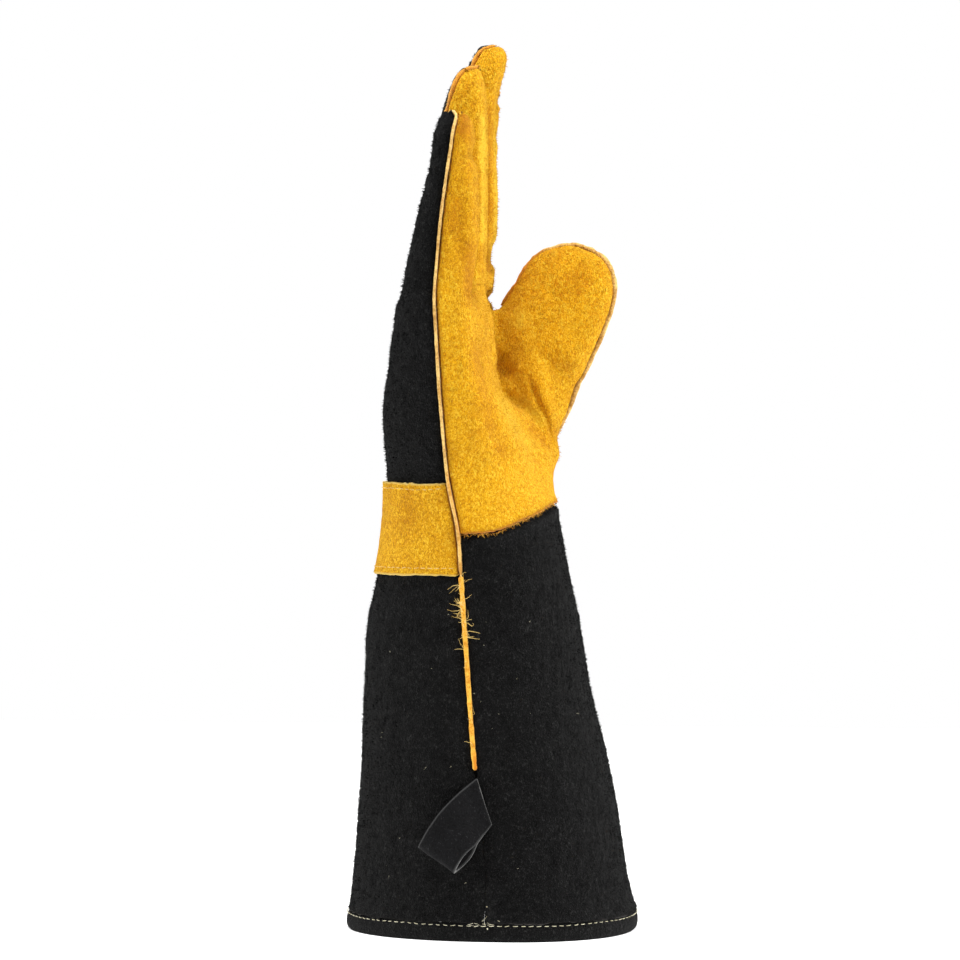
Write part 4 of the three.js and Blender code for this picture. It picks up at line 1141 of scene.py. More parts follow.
class Tree:
    """A material's node tree, with short calls that add and join nodes. Lengths are millimetres."""

    def __init__(self, name: str) -> None:
        """Starts a material with one shader and the object's coordinates in millimetres."""
        self.material = bpy.data.materials.new(name)
        self.material.use_nodes = True
        self.nodes = self.material.node_tree.nodes
        self.links = self.material.node_tree.links
        self.nodes.clear()
        self.shader = self.nodes.new("ShaderNodeBsdfPrincipled")
        output = self.nodes.new("ShaderNodeOutputMaterial")
        self.links.new(self.shader.outputs[0], output.inputs[0])
        where = self.nodes.new("ShaderNodeTexCoord").outputs["Object"]
        scale = self.nodes.new("ShaderNodeVectorMath")
        scale.operation = "SCALE"
        scale.inputs["Scale"].default_value = 1 / MM
        self.links.new(where, scale.inputs[0])
        self.place = scale.outputs[0]

    def put(self, socket: Socket, value: object) -> None:
        """Joins a socket to another, or sets its value; a screen colour is made linear first."""
        if isinstance(value, Socket):
            self.links.new(value, socket)
        else:
            socket.default_value = linear(*value) if isinstance(value, tuple) else value

    def fill(self, node: bpy.types.Node, **values: object) -> None:
        """Joins or sets a node's inputs, named with _ for each space."""
        for key, value in values.items():
            self.put(node.inputs[key.replace("_", " ")], value)

    def math(self, operation: str, *values: object) -> Socket:
        """One arithmetic step."""
        node = self.nodes.new("ShaderNodeMath")
        node.operation = operation
        for socket, value in zip(node.inputs, values):
            self.put(socket, value)
        return node.outputs[0]

    def total(self, *parts: tuple[object, float]) -> object:
        """The sum of values, each times its weight."""
        weighed = [self.math("MULTIPLY", value, weight) for value, weight in parts]
        result = weighed[0]
        for value in weighed[1:]:
            result = self.math("ADD", result, value)
        return result

    def noise(
        self, size: float, detail: float = 2.0, stretch: tuple = (1, 1, 1), curl: float = 0.0
    ) -> Socket:
        """Smooth noise on the object's coordinates.

        Args:
            size: how wide its lumps are, in millimetres.
            detail: how many finer layers it has.
            stretch: how far it is drawn out along each axis.
            curl: how far it is twisted.

        Returns:
            A value from about 0 to 1.
        """
        node = self.nodes.new("ShaderNodeTexNoise")
        self.fill(node, Scale=1.0, Detail=detail, Roughness=NOISE_ROUGH, Distortion=curl)
        mapping = self.nodes.new("ShaderNodeMapping")
        mapping.inputs["Scale"].default_value = [1 / (size * s) for s in stretch]
        self.links.new(self.place, mapping.inputs["Vector"])
        self.links.new(mapping.outputs[0], node.inputs["Vector"])
        return node.outputs[0]

    def value(self, name: str) -> Socket:
        """A float attribute of the mesh."""
        node = self.nodes.new("ShaderNodeAttribute")
        node.attribute_name = name
        return node.outputs["Fac"]

    def fade(self, value: object, low: float, high: float, start: float = 0, end: float = 1) -> object:
        """A socket that is start below low, end above high and smooth between."""
        node = self.nodes.new("ShaderNodeMapRange")
        node.interpolation_type = "SMOOTHSTEP"
        self.fill(node, Value=value, From_Min=low, From_Max=high, To_Min=start, To_Max=end)
        return node.outputs[0]

    def blend(self, share: object, first: object, second: object) -> Socket:
        """A colour between two."""
        node = self.nodes.new("ShaderNodeMix")
        node.data_type = "RGBA"
        self.fill(node, Factor=share, A=first, B=second)
        return node.outputs["Result"]

    def finish(self, colour: object, height: object, depth: float, sheen: float) -> bpy.types.Material:
        """Sets the shader as dull leather or thread.

        Args:
            colour: its colour.
            height: the value that the bump follows.
            depth: millimetres of bump for a height of one.
            sheen: the weight of the pale gloss at grazing views.

        Returns:
            The material.
        """
        bump = self.nodes.new("ShaderNodeBump")
        self.fill(bump, Strength=1.0, Distance=depth * MM, Height=height)
        self.fill(self.shader, Base_Color=colour, Roughness=DULL, Specular_IOR_Level=GLINT)
        self.fill(self.shader, Sheen_Weight=sheen, Sheen_Roughness=SHEEN_ROUGH, Normal=bump.outputs[0])
        return self.material


@dataclass(frozen=True)
class Suede:
    """Split leather with a raised nap: fine fibres, soft patches, and painted shade in the gap beside a
    seam.

    Its colours are the nap's low, middle and high ones, the painted shade's, the seam gap's painted shade
    and the cut edge's. A sparse nap has fewer high fibres, and a crisp one changes more sharply from colour
    to colour.
    """

    name: str
    dark: Colour
    base: Colour
    light: Colour
    shade: Colour
    seam_gap_shade: Colour
    edge: Colour
    sheen: float
    relief: float
    sparse: float = 0.0
    crisp: float = 0.0
    patch_size: float = 15.0
    lump_size: float = 2.6
    nap_size: float = 1.1
    fibre_size: float = 0.58
    fibre_stretch: tuple[float, float, float] = (0.9, 0.9, 1.9)
    wobble: float = 0.6

    @cache
    def material(self) -> bpy.types.Material:
        """Builds the node material.

        A weighted sum of nap, fibres and lumps, less the painted shade, picks the colour; patches darken it,
        and painted shade and painted highlight darken or lighten it. The distances to seams and raw edges,
        made uneven by the lumps, lay painted shade in the seam gap and the cut edge on top.
        """
        tree = Tree(self.name)
        patch = tree.noise(self.patch_size)
        lump = tree.noise(self.lump_size)
        nap = tree.noise(self.nap_size, 3, curl=1.3)
        fibre = tree.noise(self.fibre_size, 2, self.fibre_stretch, 0.8)
        grain = tree.total((nap, 0.5), (fibre, 0.5))
        # Painted shade where positive and painted highlight where negative, with a few worn patches.
        tone = tree.value("tone")
        uneven = tree.total((grain, 0.88), (lump, 0.12), (tone, -0.1))
        low, middle, high = 0.38 + self.crisp, 0.5, 0.62 + self.sparse - self.crisp
        colour = tree.blend(tree.fade(uneven, low, middle), self.dark, self.base)
        bright = tree.fade(uneven, middle + self.sparse, high)
        colour = tree.blend(bright, colour, self.light)
        colour = tree.blend(tree.fade(patch, 0.48, 0.72, 0, 0.3), colour, self.dark)
        # Painted shade towards the shade colour, and painted highlight towards the light colour.
        colour = tree.blend(tree.fade(tone, 0, 1, 0, 0.32), colour, self.shade)
        colour = tree.blend(tree.fade(tone, -1, 0, 0.35, 0), colour, self.light)
        wobble = tree.math("MULTIPLY", tree.math("SUBTRACT", lump, 0.5), self.wobble)
        inset = tree.math("ADD", tree.value("seam"), wobble)
        # Painted shade of the gap beside a welted seam, laid as a darker band along it.
        seam_gap_shade = tree.fade(inset, 0.3, 1.2, 1, 0)
        rim = tree.fade(tree.math("ADD", tree.value("raw"), wobble), 0.3, 1.0, 1, 0)
        colour = tree.blend(tree.math("MULTIPLY", seam_gap_shade, 0.85), colour, self.seam_gap_shade)
        colour = tree.blend(rim, colour, self.edge)
        height = tree.total((grain, 1.0), (lump, 0.5))
        return tree.finish(colour, height, self.relief, self.sheen)


@dataclass(frozen=True)
class RawEdge:
    """The fibrous cut edge of leather, or a thread: two colours in streaks, and a warmer one by place."""

    name: str
    first: Colour
    second: Colour
    warm: Colour = (206, 128, 34)
    relief: float = 0.3
    lump: float = 1.0
    patch_size: float = 8.0
    sheen: float = 0.1

    @cache
    def material(self) -> bpy.types.Material:
        """Builds the node material: a weighted sum of streaks and patches picks between the two colours."""
        tree = Tree(self.name)
        streak = tree.noise(self.lump, 3)
        patch = tree.noise(self.patch_size)
        share = tree.total((streak, 0.55), (patch, 0.45))
        colour = tree.blend(tree.fade(share, 0.38, 0.6), self.first, self.second)
        colour = tree.blend(tree.value("warm"), colour, self.warm)
        return tree.finish(colour, streak, self.relief, self.sheen)


# The fourth colour is the painted shade's and the fifth the painted shade in the gap beside a seam.
YELLOW = Suede(
    "yellow_suede", (206, 132, 2), (238, 172, 8), (255, 210, 56), (176, 102, 2), (150, 84, 18),
    (206, 134, 34), 0.04, 2.6, crisp=0.02
)
BAND_YELLOW = replace(
    YELLOW, name="band_suede", dark=(190, 122, 2), base=(230, 165, 8), edge=(240, 200, 96)
)
BLACK = Suede(
    "black_suede", (1, 1, 1), (8, 8, 8), (46, 46, 45), (1, 1, 1), (3, 3, 3), (20, 19, 18), 0.03, 2.4, 0.02
)
STRAP = Suede(
    "charcoal_strap", (6, 6, 6), (15, 15, 16), (42, 42, 43), (6, 6, 6), (14, 14, 14), (52, 52, 52),
    0.03, 0.5, 0.05
)
YELLOW_RIM = RawEdge("yellow_cut_edge", (186, 96, 18), (230, 160, 54))
BAND_RIM = RawEdge("band_cut_edge", (206, 158, 62), (244, 214, 132))
BLACK_RIM = RawEdge("black_cut_edge", (14, 13, 12), (44, 41, 38))
CREAM = RawEdge("cream_cut_edge", (176, 130, 62), (230, 194, 118), (210, 144, 48))
GOLD = RawEdge("golden_cut_edge", (196, 128, 28), (236, 182, 70))
STRAP_RIM = RawEdge("grey_cut_edge", (34, 34, 34), (116, 116, 114))
WHITE_THREAD = RawEdge("white_thread", (186, 178, 142), (240, 234, 206), relief=0.1, lump=0.5)
ORANGE_FIBRE = RawEdge("orange_fibre", (206, 130, 36), (246, 200, 124), relief=0.1, lump=0.6)
CREAM_THREAD = RawEdge("cream_thread", (196, 156, 74), (236, 206, 128), relief=0.1, lump=0.6)


def add_piece(
    name: str, mesh: bpy.types.Mesh, finishes: tuple[Suede | RawEdge, ...], slot: str, *nodes: str
) -> bpy.types.Object:
    """Links a mesh as a piece that rides the glove's body.

    Args:
        name, mesh: the piece's own.
        finishes: its materials, the rim's last.
        slot: not used.
        nodes: the CAD nodes that it replaces.

    Returns:
        The piece.
    """
    for finish in finishes:
        mesh.materials.append(finish.material())
    thing = link(name, mesh)
    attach(thing, "root")
    if nodes:
        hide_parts(*nodes)
    log.info("%s done", name)
    return thing


def thicken(thing: bpy.types.Object, thick: float, offset: float, even: bool = False) -> None:
    """Gives a sheet its thickness, with its second material on the rim.

    Args:
        thing, thick: the sheet and its thickness.
        offset: -1 for all of it inward, 0 for half to each side.
        even: whether bends keep the full thickness.
    """
    wall = thing.modifiers.new("thickness", "SOLIDIFY")
    wall.thickness = thick * MM
    wall.offset = offset
    wall.use_even_offset = even
    wall.material_offset_rim = 1


@dataclass(frozen=True)
class Leather:
    """What a panel is cut from: its finish, its cut edge and a slot name."""

    finish: Suede
    rim: RawEdge
    slot: str


YELLOW_LEATHER = Leather(YELLOW, YELLOW_RIM, "suede_yellow")
BAND_LEATHER = Leather(BAND_YELLOW, BAND_RIM, "suede_yellow")
BLACK_LEATHER = Leather(BLACK, BLACK_RIM, "suede_black")

WELT_REACH = 1.7
PLAIN_REACH = 1.8
RAW_REACH = 2.6
PUCKER_REACH = 6.0
FRAY_REACH = 0.8
SUNK_REACH = 7.0
FLARE_END = 5.0

CUFF_CREASE = 0.9
HAND_CREASE = 0.1
BACK_PROUD = 0.75
BAND_SINK = 1.6

# Height, width of the lumps and seed of a panel's puckers, its fraying, and its coarse and fine unevenness.
PUCKER = (0.3, 5.5, 11)
FRAY = (0.5, 1.6, 20)
COARSE = (0.16, 2.6, 0)
FINE = (0.12, 1.3, 7)


@dataclass(frozen=True)
class Panel:
    """One flat-cut leather piece of the glove, a stretch of the skin with its own thickness and borders."""

    name: str
    piece: Piece
    thick: float
    leather: Leather
    seed: int
    roll: float = 1.0
    flare: float = 0.7
    rough: float = 1.0

    def faces(self, skin: Skin) -> Array:
        """Which of the skin's faces the piece takes."""
        return skin.piece == self.piece.value

    def shaped(self, cut: Cut) -> Array:
        """The cut's points, with its layer's lift, turned in at welted seams and out at raw edges.

        Beside a welted seam a bell curve of the distance turns the leather in, beside a raw edge another
        turns it out; small noise makes it uneven. On the longer fingers the black back stands over the seam.
        """
        roll = self.roll
        if self.piece is Piece.BACK:
            roll = self.roll - (self.roll + BACK_PROUD) * finger_share(cut.points, cut.normals)
        crease = CUFF_CREASE if self.piece in CUFF_PIECES else HAND_CREASE
        turned_in = roll * bell(cut.to_welt, WELT_REACH) + crease * bell(cut.to_plain, PLAIN_REACH)
        turned_out = self.flare * bell(cut.to_raw, RAW_REACH) * ease(cut.to_plain / FLARE_END)
        pucker = PUCKER[0] * noise(cut.points, *PUCKER[1:]) * bell(cut.to_welt, PUCKER_REACH)
        nap = [high * noise(cut.points, wide, self.seed + seed) for high, wide, seed in (COARSE, FINE)]
        height = self.layer(cut) - turned_in + turned_out + pucker + sum(nap) * self.rough
        high, wide, seed = FRAY
        jitter = np.stack([noise(cut.points, wide, seed + k) for k in range(3)], -1) * high
        return cut.points + cut.normals * height[:, None] + jitter * bell(cut.to_raw, FRAY_REACH)[:, None]

    def layer(self, cut: Cut) -> Array:
        """How high over the skin the piece lies: below the band it sinks where the band is sewn in."""
        banded = within(cut.points[:, 2], BAND_LOW - 2, BAND_TOP + 1, 3)
        return -BAND_SINK * banded * bell(cut.to_welt, SUNK_REACH) * (self.piece in DARK_SIDE)

    def build(self, skin: Skin) -> None:
        """Makes the piece and gives it its thickness, inward from the skin."""
        cut = cut_piece(skin, self.faces(skin), self.piece)
        points = self.shaped(cut)
        # The painted shade and highlight goes onto the mesh as an attribute that the suede reads.
        mesh = make_mesh(self.name, points, cut.quads, seam=cut.to_welt, raw=cut.to_raw, tone=cut.tone)
        kind = self.leather
        thing = add_piece(f"{self.name}_leather", mesh, (kind.finish, kind.rim), kind.slot, self.name)
        thicken(thing, self.thick, -1)


@dataclass(frozen=True)
class CuffPalm(Panel):
    """The cuff's palm half, whose top bulges into a lip and goes on under the palm's lower edge."""

    lip_drop: float = 2.8
    lip_reach: float = 2.2
    lip_proud: float = 1.1
    lap_deep: float = 2.25
    lap_soft: float = 1.6
    side_from: float = -4.0
    side_soft: float = 8.0

    def faces(self, skin: Skin) -> Array:
        """The cuff's own faces and the covered ones of the hand's panels."""
        return (skin.piece == self.piece.value) | (skin.region == Region.LAP.value)

    def shaped(self, cut: Cut) -> Array:
        """As a panel, with the top first raised into the lip and then sunk under the palm."""
        sunk = self.lap_deep * ease((cut.rise + self.lap_soft) / self.lap_soft)
        lip = self.lip_proud * bell(cut.rise + self.lip_drop, self.lip_reach) * (cut.rise < 0)
        side = ease((cut.points[:, 0] - self.side_from) / self.side_soft)
        return super().shaped(cut) + cut.normals * (lip * side - sunk)[:, None]


def tubes(paths: Array, up: Array, profile: Array, scale: Array) -> tuple[Array, list[Array]]:
    """Carries a closed profile along many paths at once.

    A point is the path's plus the profile's first value along the side and its second along up, times scale.

    Args:
        paths: tubes x steps x 3.
        up: the same, roughly across the path.
        profile: corners x 2.
        scale: tubes x steps.

    Returns:
        Points and groups of faces: the walls' quads and the end caps.
    """
    count, steps, _ = paths.shape
    corners = len(profile)
    way = unit(np.gradient(paths, axis=1))
    side = unit(np.cross(way, up))
    out = np.cross(side, way)
    offset = profile[None, None, :, :1] * side[:, :, None] + profile[None, None, :, 1:] * out[:, :, None]
    points = paths[:, :, None] + offset * scale[:, :, None, None]
    number = np.arange(count * steps * corners).reshape(count, steps, corners)
    after = np.roll(number, -1, axis=2)
    walls = np.stack([number[:, :-1], after[:, :-1], after[:, 1:], number[:, 1:]], -1).reshape(-1, 4)
    caps = np.concatenate([number[:, 0, ::-1], number[:, -1]])
    return points.reshape(-1, 3), [walls, caps]


def round_profile(corners: int) -> Array:
    """A circle of radius one as corner points."""
    turn = np.linspace(0, 2 * np.pi, corners, endpoint=False)
    return np.stack([np.cos(turn), np.sin(turn)], -1)


def strap_profile(wide: float, high: float, deep: float) -> Array:
    """A strip's section as corner points: straight sides, a rounded top and a flat bottom."""
    corners = [(-0.5, -deep), (0.5, -deep), (0.5, high * 0.72), (0.3, high * 0.96), (0, high)]
    corners += [(-0.3, high * 0.96), (-0.5, high * 0.72)]
    return np.array([(side * wide, up) for side, up in corners])


@dataclass(frozen=True)
class SeamStrip:
    """A strip of leather sewn into a seam, with its rough cut edge outward."""

    name: str
    finish: RawEdge
    slot: str
    wide: float = 1.25
    proud: float = 1.0
    deep: float = 1.2
    lean: float = 0.0
    lift: float = 0.0
    taper: int = 4
    fill: float = 0.0
    seed: int = 3
    finger_sink: float = 0.6
    finger_lean: float = 0.95

    def build(self, path: Array, normals: Array, warm: Array, sunk: Array | float = 0.0) -> None:
        """Sweeps the strip's section along the seam; noise gives it a frayed height and width.

        Args:
            path: points along the seam.
            normals: the ways out of the skin there.
            warm: how orange the cut edge is at each point, 0 to 1.
            sunk: how far the strip is drawn into the seam.
        """
        count = len(path)
        ends = np.minimum(np.arange(count), np.arange(count)[::-1]) / self.taper
        scale = (1 + 0.18 * noise(path, 2.2, self.seed)) * (0.5 + 0.5 * ease(ends))
        fingers = finger_share(path, normals)
        side = unit(np.cross(unit(np.gradient(path, axis=0)), normals))
        lower = self.lift + 0.16 * noise(path, 3.1, self.seed + 1) - self.finger_sink * fingers - sunk
        aside = self.lean + self.finger_lean * fingers
        middle = path + normals * lower[:, None] + side * aside[:, None]
        scale = scale * (1 + finger_share(path) * (0.25 + 0.3 * noise(path, 1.7, self.seed + 4)))
        scale = scale * (1 + self.fill * beside_band(path))
        section = strap_profile(self.wide, self.proud, self.deep)
        points, faces = tubes(middle[None], normals[None], section, scale[None])
        blush = np.clip(warm + 0.3 * noise(path, 9, self.seed + 2), 0, 1)[:, None]
        blush = (blush * (section[:, 0] > -0.3 * self.wide)).ravel()
        mesh = make_mesh(self.name, points, faces, warm=blush)
        add_piece(f"{self.name}_strip", mesh, (self.finish,), self.slot, self.name)


@dataclass(frozen=True)
class Hem:
    """The turned, double-thick lower border of the cuff, with a flat foot."""

    columns: int = 520
    high: float = HEM_HIGH
    proud: float = HEM_PROUD
    thick: float = HEM_THICK
    seat: float = 0.6
    foot: float = 0.04

    def build(self) -> None:
        """Carries the hem's section round the cuff's foot.

        The section's first value is the share of the way up the hem, its second how far out it stands. Noise
        makes its outside uneven.
        """
        low, out = self.ring(0, self.columns)
        top = self.ring(self.high, self.columns)[0]
        inner = self.proud - self.thick
        knots = [(0, -0.7), (0.05, -0.25), (0.16, 0.3), (0.42, self.proud), (0.8, self.proud), (0.96, 0.5)]
        knots += [(1, 0), (1, inner), (0.5, inner), (0, inner), (0, -1.8), (0, -0.7)]
        size = np.array([self.high, 1])
        section = (open_path(np.array(knots, float) * size, 1.0) / size)[:-1]
        share, off = section[:, 0][None, :, None], section[:, 1][None, :, None]
        seated = off - self.proud * self.seat
        points = between(low[:, None], top[:, None], share) + out[:, None] * seated
        flat = points.reshape(-1, 3)
        uneven = 0.22 * noise(flat, 7, 41) + 0.14 * noise(flat, 2.4, 42)
        outside = (off > -1).reshape(1, -1) & (share.reshape(1, -1) > self.foot)
        reach = np.where(np.broadcast_to(outside, points.shape[:2]).ravel(), uneven, 0)
        flat = flat + np.repeat(out, len(section), 0) * reach[:, None]
        number = np.arange(len(flat)).reshape(self.columns, -1)
        right = np.roll(number, -1, 0)
        quads = np.stack([number, right, np.roll(right, -1, 1), np.roll(number, -1, 1)], -1)
        far = np.full(len(flat), NO_BORDER)
        mesh = make_mesh("cuff_hem", flat, quads.reshape(-1, 4), seam=far, raw=far)
        add_piece("cuff_hem_leather", mesh, (BLACK,), "suede_black", "cuff_hem")

    def ring(self, z: float, count: int, lift: float = 0.0) -> tuple[Array, Array]:
        """A closed row of points on the cuff at a height.

        Args:
            z: its height.
            count: how many points it has.
            lift: how far off the cuff it lies.

        Returns:
            The points, and the way out from each.
        """
        turns = np.append(over_columns(line_turns(0), 360), 360)
        columns = np.linspace(0, AROUND, count, endpoint=False)
        row = cuff_points(np.interp(columns, np.arange(AROUND + 1), turns), z)
        way = np.roll(row, -1, 0) - np.roll(row, 1, 0)
        out = unit(np.stack([way[:, 1], -way[:, 0], np.zeros(count)], -1))
        return row + out * lift, out


def cuff_side(x: Array, z: Array) -> Array:
    """How far out the cuff's little-finger side lies at x and z."""
    back, front, side, seam, _ = CUFF.at(z)
    reach = np.where(x > seam, front - seam, seam - back)
    return side * (1 - np.clip(np.abs(x - seam) / reach, 0, 1) ** SECTION_POWER) ** (1 / SECTION_POWER)


@dataclass(frozen=True)
class HangLoop:
    """A leather strap that leaves the seam, turns back on itself and lies against the cuff.

    Its corners are x and z in side view. Its two layers part by front_in and back_out near the low edge.
    """

    seam_top: Pair = (0.6, 72.6)
    seam_low: Pair = (7.6, 52)
    fold_top: Pair = (-24.4, 42.4)
    fold_low: Pair = (-7.8, 31.6)
    thick: float = 1.7
    clear: float = 0.8
    eye: float = 7.4
    swell: float = 2.4
    front_in: float = 1.2
    back_out: float = -1.3
    part_from: float = 0.42
    part_long: float = 0.58
    wide: float = 22.0
    waves: float = 0.25
    steps: int = 90
    across: int = 30

    def path(self) -> Array:
        """The strap's middle line: share of the way to the fold, and height over the cuff."""
        low = self.clear + self.thick / 2
        high = low + self.thick + self.eye
        rows = [(0, low), (0.25, low + 0.1), (0.5, low), (0.72, low), (0.88, low + 0.1), (0.97, low + 1.2)]
        rows += [(1, (low + high) / 2), (0.97, high - 1.2), (0.88, high - 0.1), (0.72, high)]
        back = low + self.thick
        rows += [(0.5, high - 0.6), (0.25, back + self.eye * 0.42), (0.1, back + 0.9), (0, back + 0.4)]
        return np.array(rows, float)

    def build(self) -> None:
        """Makes the strap as a grid along and across, with soft waves, and gives it its thickness.

        A point lies between the strap's ends by the path's share of the way, swells by a sine of it, and
        stands off the cuff's side by the path's height.
        """
        ends = [np.array(p, float) for p in (self.seam_top, self.seam_low, self.fold_top, self.fold_low)]
        run = np.linalg.norm((ends[2] + ends[3] - ends[0] - ends[1]) / 2)
        scaled = self.path() * np.array([run, 1])
        line = open_path(scaled, np.linalg.norm(np.diff(scaled, axis=0), axis=1).sum() / self.steps)
        along_strap = line[:, 0] / run
        t = np.linspace(0, 1, self.across)
        a, t = np.meshgrid(along_strap, t, indexing="ij")
        start, end = (between(*pair, t[..., None]) for pair in (ends[:2], ends[2:]))
        flat = between(start, end, a[..., None])
        hug = between(start, end, np.minimum(a, 1)[..., None])
        way = unit(end - start)
        swell = self.swell * np.sin(np.pi * np.clip(a, 0, 1)) * (1 - t)
        half = np.arange(len(line))[:, None] > len(line) / 2
        parted = np.sin(np.pi * np.clip((a - self.part_from) / self.part_long, 0, 1)) * t**3
        parted = parted * np.where(half, self.front_in, self.back_out)
        flat = flat + (swell + parted)[..., None] * np.stack([way[..., 1], -way[..., 0]], -1)
        lift = np.broadcast_to(line[:, 1][:, None], a.shape)
        y = -cuff_side(hug[..., 0], hug[..., 1]) - lift
        points = np.stack([flat[..., 0], y, flat[..., 1]], -1).reshape(-1, 3)
        points = points + self.waves * np.stack([noise(points, 6, k) for k in (51, 52, 53)], -1)
        number = np.arange(len(points)).reshape(a.shape)
        quads = np.stack([number[:-1, 1:], number[1:, 1:], number[1:, :-1], number[:-1, :-1]], -1)
        far = np.full(len(points), NO_BORDER)
        side = np.minimum(t, 1 - t).ravel() * self.wide
        mesh = make_mesh("hang_loop", points, quads.reshape(-1, 4), seam=far, raw=side)
        thing = add_piece("hang_loop_strap", mesh, (STRAP, STRAP_RIM), "strap_charcoal", "hang_loop")
        thicken(thing, self.thick, 0, True)


@dataclass(frozen=True)
class Stitching:
    """A row of separate stitches, each a short arch of thread that dips into the leather at both ends."""

    name: str
    finish: RawEdge
    slot: str
    pitch: float
    length: float
    radius: float
    arch: float = 0.34
    seed: int = 9

    def tubes(self, path: Array, normals: Array) -> tuple[Array, Array]:
        """The stitches' middle lines and the way out from the leather."""
        length = lengths(path)
        count = max(1, int(length[-1] / self.pitch))
        rng = np.random.default_rng(self.seed)
        middle = (np.arange(count) + 0.5) * length[-1] / count + rng.normal(0, 0.12, count)
        size = self.length * rng.uniform(0.85, 1.1, count)
        t = np.linspace(-0.5, 0.5, 6)
        where = middle[:, None] + size[:, None] * t[None]
        read = [[np.interp(where, length, row) for row in rows.T] for rows in (path, normals)]
        points, out = np.stack(read[0], -1), unit(np.stack(read[1], -1))
        high = self.arch * (1 - (2 * t) ** 2) * 1.5 - self.arch * 0.7
        across = unit(np.cross(np.gradient(points, axis=1), out))
        lean = rng.normal(0, 0.1, count)[:, None] * t[None] * 2
        return points + out * high[None, :, None] + across * lean[..., None], out

    def build(self, rows: list[tuple[Array, Array]]) -> None:
        """Makes the stitches of all rows, given by path and ways out of the leather, as one piece."""
        made = [self.tubes(path, normals) for path, normals in rows]
        lines = np.concatenate([line for line, _ in made])
        out = np.concatenate([way for _, way in made])
        points, faces = tubes(lines, out, round_profile(5) * self.radius, np.ones(lines.shape[:2]))
        add_piece(self.name, make_mesh(self.name, points, faces), (self.finish,), self.slot)


@dataclass(frozen=True)
class Strands:
    """Loose threads and fibres: curled tubes that thin out to their tips."""

    name: str
    finish: RawEdge
    slot: str
    length: Pair
    radius: float
    curl: float
    steps: int = 10
    corners: int = 4
    seed: int = 5

    def build(self, roots: Array, ways: Array) -> None:
        """Grows one strand from each root along its way, bent by noise of a random walk kind.

        Args:
            roots: where they start.
            ways: unit directions that they leave in.
        """
        rng = np.random.default_rng(self.seed)
        count = len(roots)
        size = rng.uniform(*self.length, count)
        turn = np.cumsum(rng.normal(0, self.curl, (count, self.steps, 3)), axis=1)
        heading = unit(ways[:, None] + turn)
        step = size[:, None, None] / self.steps
        line = roots[:, None] + np.cumsum(heading * step, axis=1) - heading[:, :1] * step
        up = unit(np.cross(heading, np.roll(heading, 1, axis=2)))
        thin = np.linspace(1, 0.35, self.steps)[None] * np.ones((count, 1))
        points, faces = tubes(line, up, round_profile(self.corners) * self.radius, thin)
        add_piece(self.name, make_mesh(self.name, points, faces), (self.finish,), self.slot)


@dataclass(frozen=True)
class Nap:
    """The fuzz of a suede side: thin pointed flakes that lean over in many directions."""

    name: str
    finish: Suede
    slot: str
    count: int
    wide: float
    length: Pair = (0.5, 1.5)
    seed: int = 77

    def build(self, points: Array, quads: Array, normals: Array) -> None:
        """Scatters the flakes over faces by area, each a three-sided spike with its base in the leather.

        Args:
            points: the skin's points.
            quads: the faces that carry flakes.
            normals: the ways out at the points.
        """
        rng = np.random.default_rng(self.seed)
        a, b, c, d = (points[quads[:, k]] for k in range(4))
        area = np.linalg.norm(np.cross(c - a, d - b), axis=1)
        chosen = rng.choice(len(quads), self.count, p=area / area.sum())
        u, v = rng.random((2, self.count, 1))
        root = between(between(a[chosen], b[chosen], u), between(d[chosen], c[chosen], u), v)
        out = normals[quads[chosen, 0]]
        lean = rng.normal(0, 0.8, (self.count, 3))
        way = unit(out + lean)
        way = unit(way + out * np.maximum(0, 0.25 - (way * out).sum(1))[:, None] * 2)
        side = unit(np.cross(way, out + 0.01))
        other = np.cross(way, side)
        size = rng.uniform(*self.length, self.count)[:, None]
        wide = self.wide * rng.uniform(0.6, 1.2, self.count)[:, None]
        turn = np.radians([90, 210, 330])
        base = [root - out * 0.1 + (side * np.cos(t) + other * np.sin(t)) * wide for t in turn]
        spikes = np.stack([*base, root + way * size], 1)
        number = np.arange(self.count * 4).reshape(-1, 4)
        order = ((0, 1, 3), (1, 2, 3), (2, 0, 3), (0, 2, 1))
        triangles = np.concatenate([number[:, list(o)] for o in order])
        far = np.full(self.count * 4, NO_BORDER)
        mesh = make_mesh(self.name, spikes.reshape(-1, 3), triangles, seam=far, raw=far)
        add_piece(self.name, mesh, (self.finish,), self.slot)


# Lines in the side view that folds follow, as distance across and height.
PALM_CREASE = (
    (1.6, 262), (0.6, 255), (1.4, 250.5), (5, 246), (10, 242), (16, 237), (21, 231.8), (28.5, 222)
)
THUMB_CREASE = (
    (11.2, 255.9), (17.3, 251.2), (18.8, 247), (21, 240.5), (23.7, 236), (26.3, 231.3), (29.6, 219)
)
THUMB_CREST = ((10, 268), (13, 258), (17.4, 251), (22.5, 244.7), (26.2, 237.8), (28.3, 230.5))
PALM_RIDGE = ((2.1, 248), (7.4, 235.2), (12.7, 226.7), (18.9, 220.8), (24.4, 215.7))
PALM_VALLEY = ((-7.8, 274.3), (-4.6, 256), (-1.4, 238), (2.9, 226), (8.6, 209.7))
RING_SHADOW = ((-8.7, 366.8), (-10.1, 353.2), (-6.4, 345.9), (-6, 330), (-6, 314))
